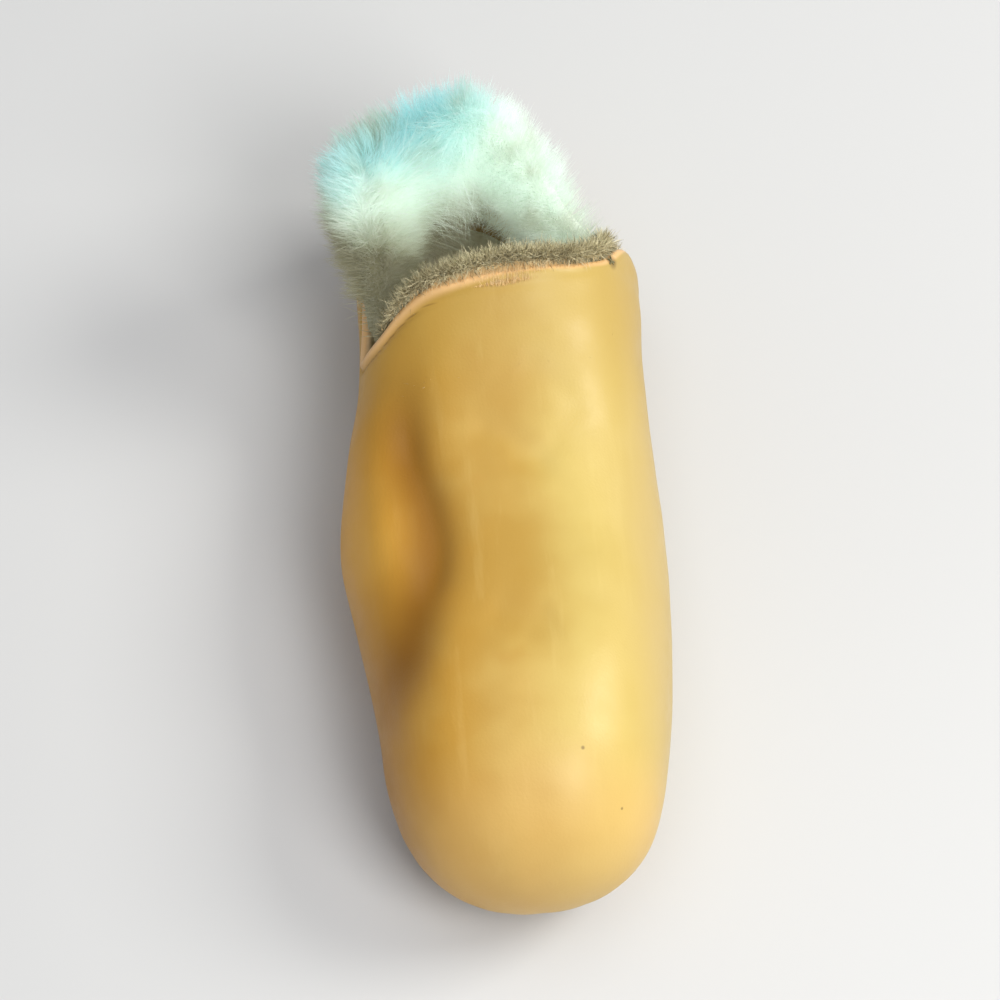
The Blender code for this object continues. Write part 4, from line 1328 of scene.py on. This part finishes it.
def cord_looks():
    material, tree, shader, where = node_material("cord_looks")
    patch = noise(tree, where, 300.0, 3.0, 0.6)
    fine = noise(tree, where, 2600.0, 3.0, 0.6)
    base = mix(tree, between(tree, patch, 0.38, 0.62), (0.62, 0.42, 0.36), (0.76, 0.64, 0.50))
    base = mix(tree, between(tree, fine, 0.35, 0.7, 0.0, 0.35), base, (0.86, 0.80, 0.68))
    set_inputs(tree, shader, Base_Color=base, Roughness=0.85)
    add_bump(tree, shader, fine, 0.5, 0.0002)
    return material


def thread_looks(name, dark, pale):
    material, tree, shader, where = node_material(name)
    patch = noise(tree, where, 900.0, 3.0, 0.6)
    base = mix(tree, between(tree, patch, 0.38, 0.62), dark, pale)
    set_inputs(tree, shader, Base_Color=base, Roughness=0.6)
    return material


def floor_looks():
    material, tree, shader, where = node_material("floor_looks")
    large = noise(tree, where, 3.0, 2.0, 0.5)
    base = mix(tree, between(tree, large, 0.3, 0.7), (0.60, 0.60, 0.605), (0.64, 0.64, 0.645))
    set_inputs(tree, shader, Base_Color=base, Roughness=0.7)
    return material


def add_light(name, place, target, size, power, colour):
    light = bpy.data.lights.new(name, "AREA")
    light.shape = "RECTANGLE"
    light.size, light.size_y = size
    light.energy = power
    light.color = colour
    lamp = add_object(name, light)
    lamp.location = place
    turn_along(lamp, Vector(target) - Vector(place), "-Z")


def add_camera():
    """A long lens that looks down at the shoe from in front of its toe."""
    elevation = math.radians(68.0)
    azimuth = math.radians(-4.65)
    flat = math.cos(elevation)
    back = Vector((math.sin(azimuth) * flat, -math.cos(azimuth) * flat, math.sin(elevation)))
    right = Vector((math.cos(azimuth), math.sin(azimuth), 0.0))
    up = back.cross(right)
    target = Vector((0.00098, 0.0, 0.018))
    distance = 0.7
    lens_px = 4410.0
    image_px = 1000.0
    aim_right_px = -7.0
    aim_up_px = 18.0
    eye = target + back * distance
    aim = target + right * (aim_right_px / lens_px * distance) + up * (aim_up_px / lens_px * distance)
    camera = bpy.data.cameras.new("camera")
    camera.sensor_width = 36.0
    camera.lens = camera.sensor_width * lens_px / image_px
    camera.clip_start = 0.05
    made = add_object("camera", camera)
    made.location = eye
    turn_along(made, aim - eye, "-Z")
    bpy.context.scene.camera = made


def add_floor(material):
    mesh = bpy.data.meshes.new("floor")
    reach = FLOOR_REACH
    corners = [(-reach, -reach, 0), (reach, -reach, 0), (reach, reach, 0), (-reach, reach, 0)]
    mesh.from_pydata(corners, [], [(0, 1, 2, 3)])
    mesh.materials.append(material)
    floor = add_object("floor", mesh)
    floor.location = (0.0, 0.0, -FLOOR_GAP)


def add_world():
    world = bpy.data.worlds.new("soft_room")
    bpy.context.scene.world = world
    world.use_nodes = True
    background = world.node_tree.nodes["Background"]
    background.inputs["Color"].default_value = (0.93, 0.96, 1.0, 1.0)
    background.inputs["Strength"].default_value = 0.36


add_camera()
surface = make_leather(leather_looks())
bag = surface["bag"]
make_sole_looks(bag, suede_looks())
insole_wool = pile_looks("insole_looks", (0.50, 0.44, 0.28), (0.72, 0.68, 0.54), (0.40, 0.34, 0.20))
make_insole_looks(bag, insole_wool)
wool = wool_looks("wool_looks", (0.905, 0.98, 0.93), (0.60, 0.87, 0.885), (0.43, 0.42, 0.25), 0.17)
grid, normals, around, section = make_wool(bag, wool)
pile = pile_looks("pile_looks", (0.42, 0.36, 0.21), (0.74, 0.67, 0.44), (0.18, 0.14, 0.07))
# Painted light: the lining's pile in paler colours for inside the shoe, to read as lit in its shaded hollow
painted_light_pile = pile_looks("inner_pile_looks", (0.52, 0.44, 0.22), (0.84, 0.76, 0.50), (0.30, 0.22, 0.10))
make_edge_pile(grid, normals, around, section, pile, painted_light_pile)
make_stitches(surface, thread_looks("thread_looks", (0.40, 0.22, 0.07), (0.62, 0.42, 0.18)))
make_corner_thread(thread_looks("corner_thread_looks", (0.08, 0.07, 0.025), (0.20, 0.17, 0.07)))
nap = pile_looks("nap_looks", (0.78, 0.53, 0.24), (0.86, 0.66, 0.36), (0.86, 0.66, 0.36))
make_hem_nap(surface, nap)
make_cord_looks(cord_looks())
add_floor(floor_looks())
add_world()
for light in LIGHTS:
    add_light(**light)

bpy.context.scene.view_settings.view_transform = "Standard"
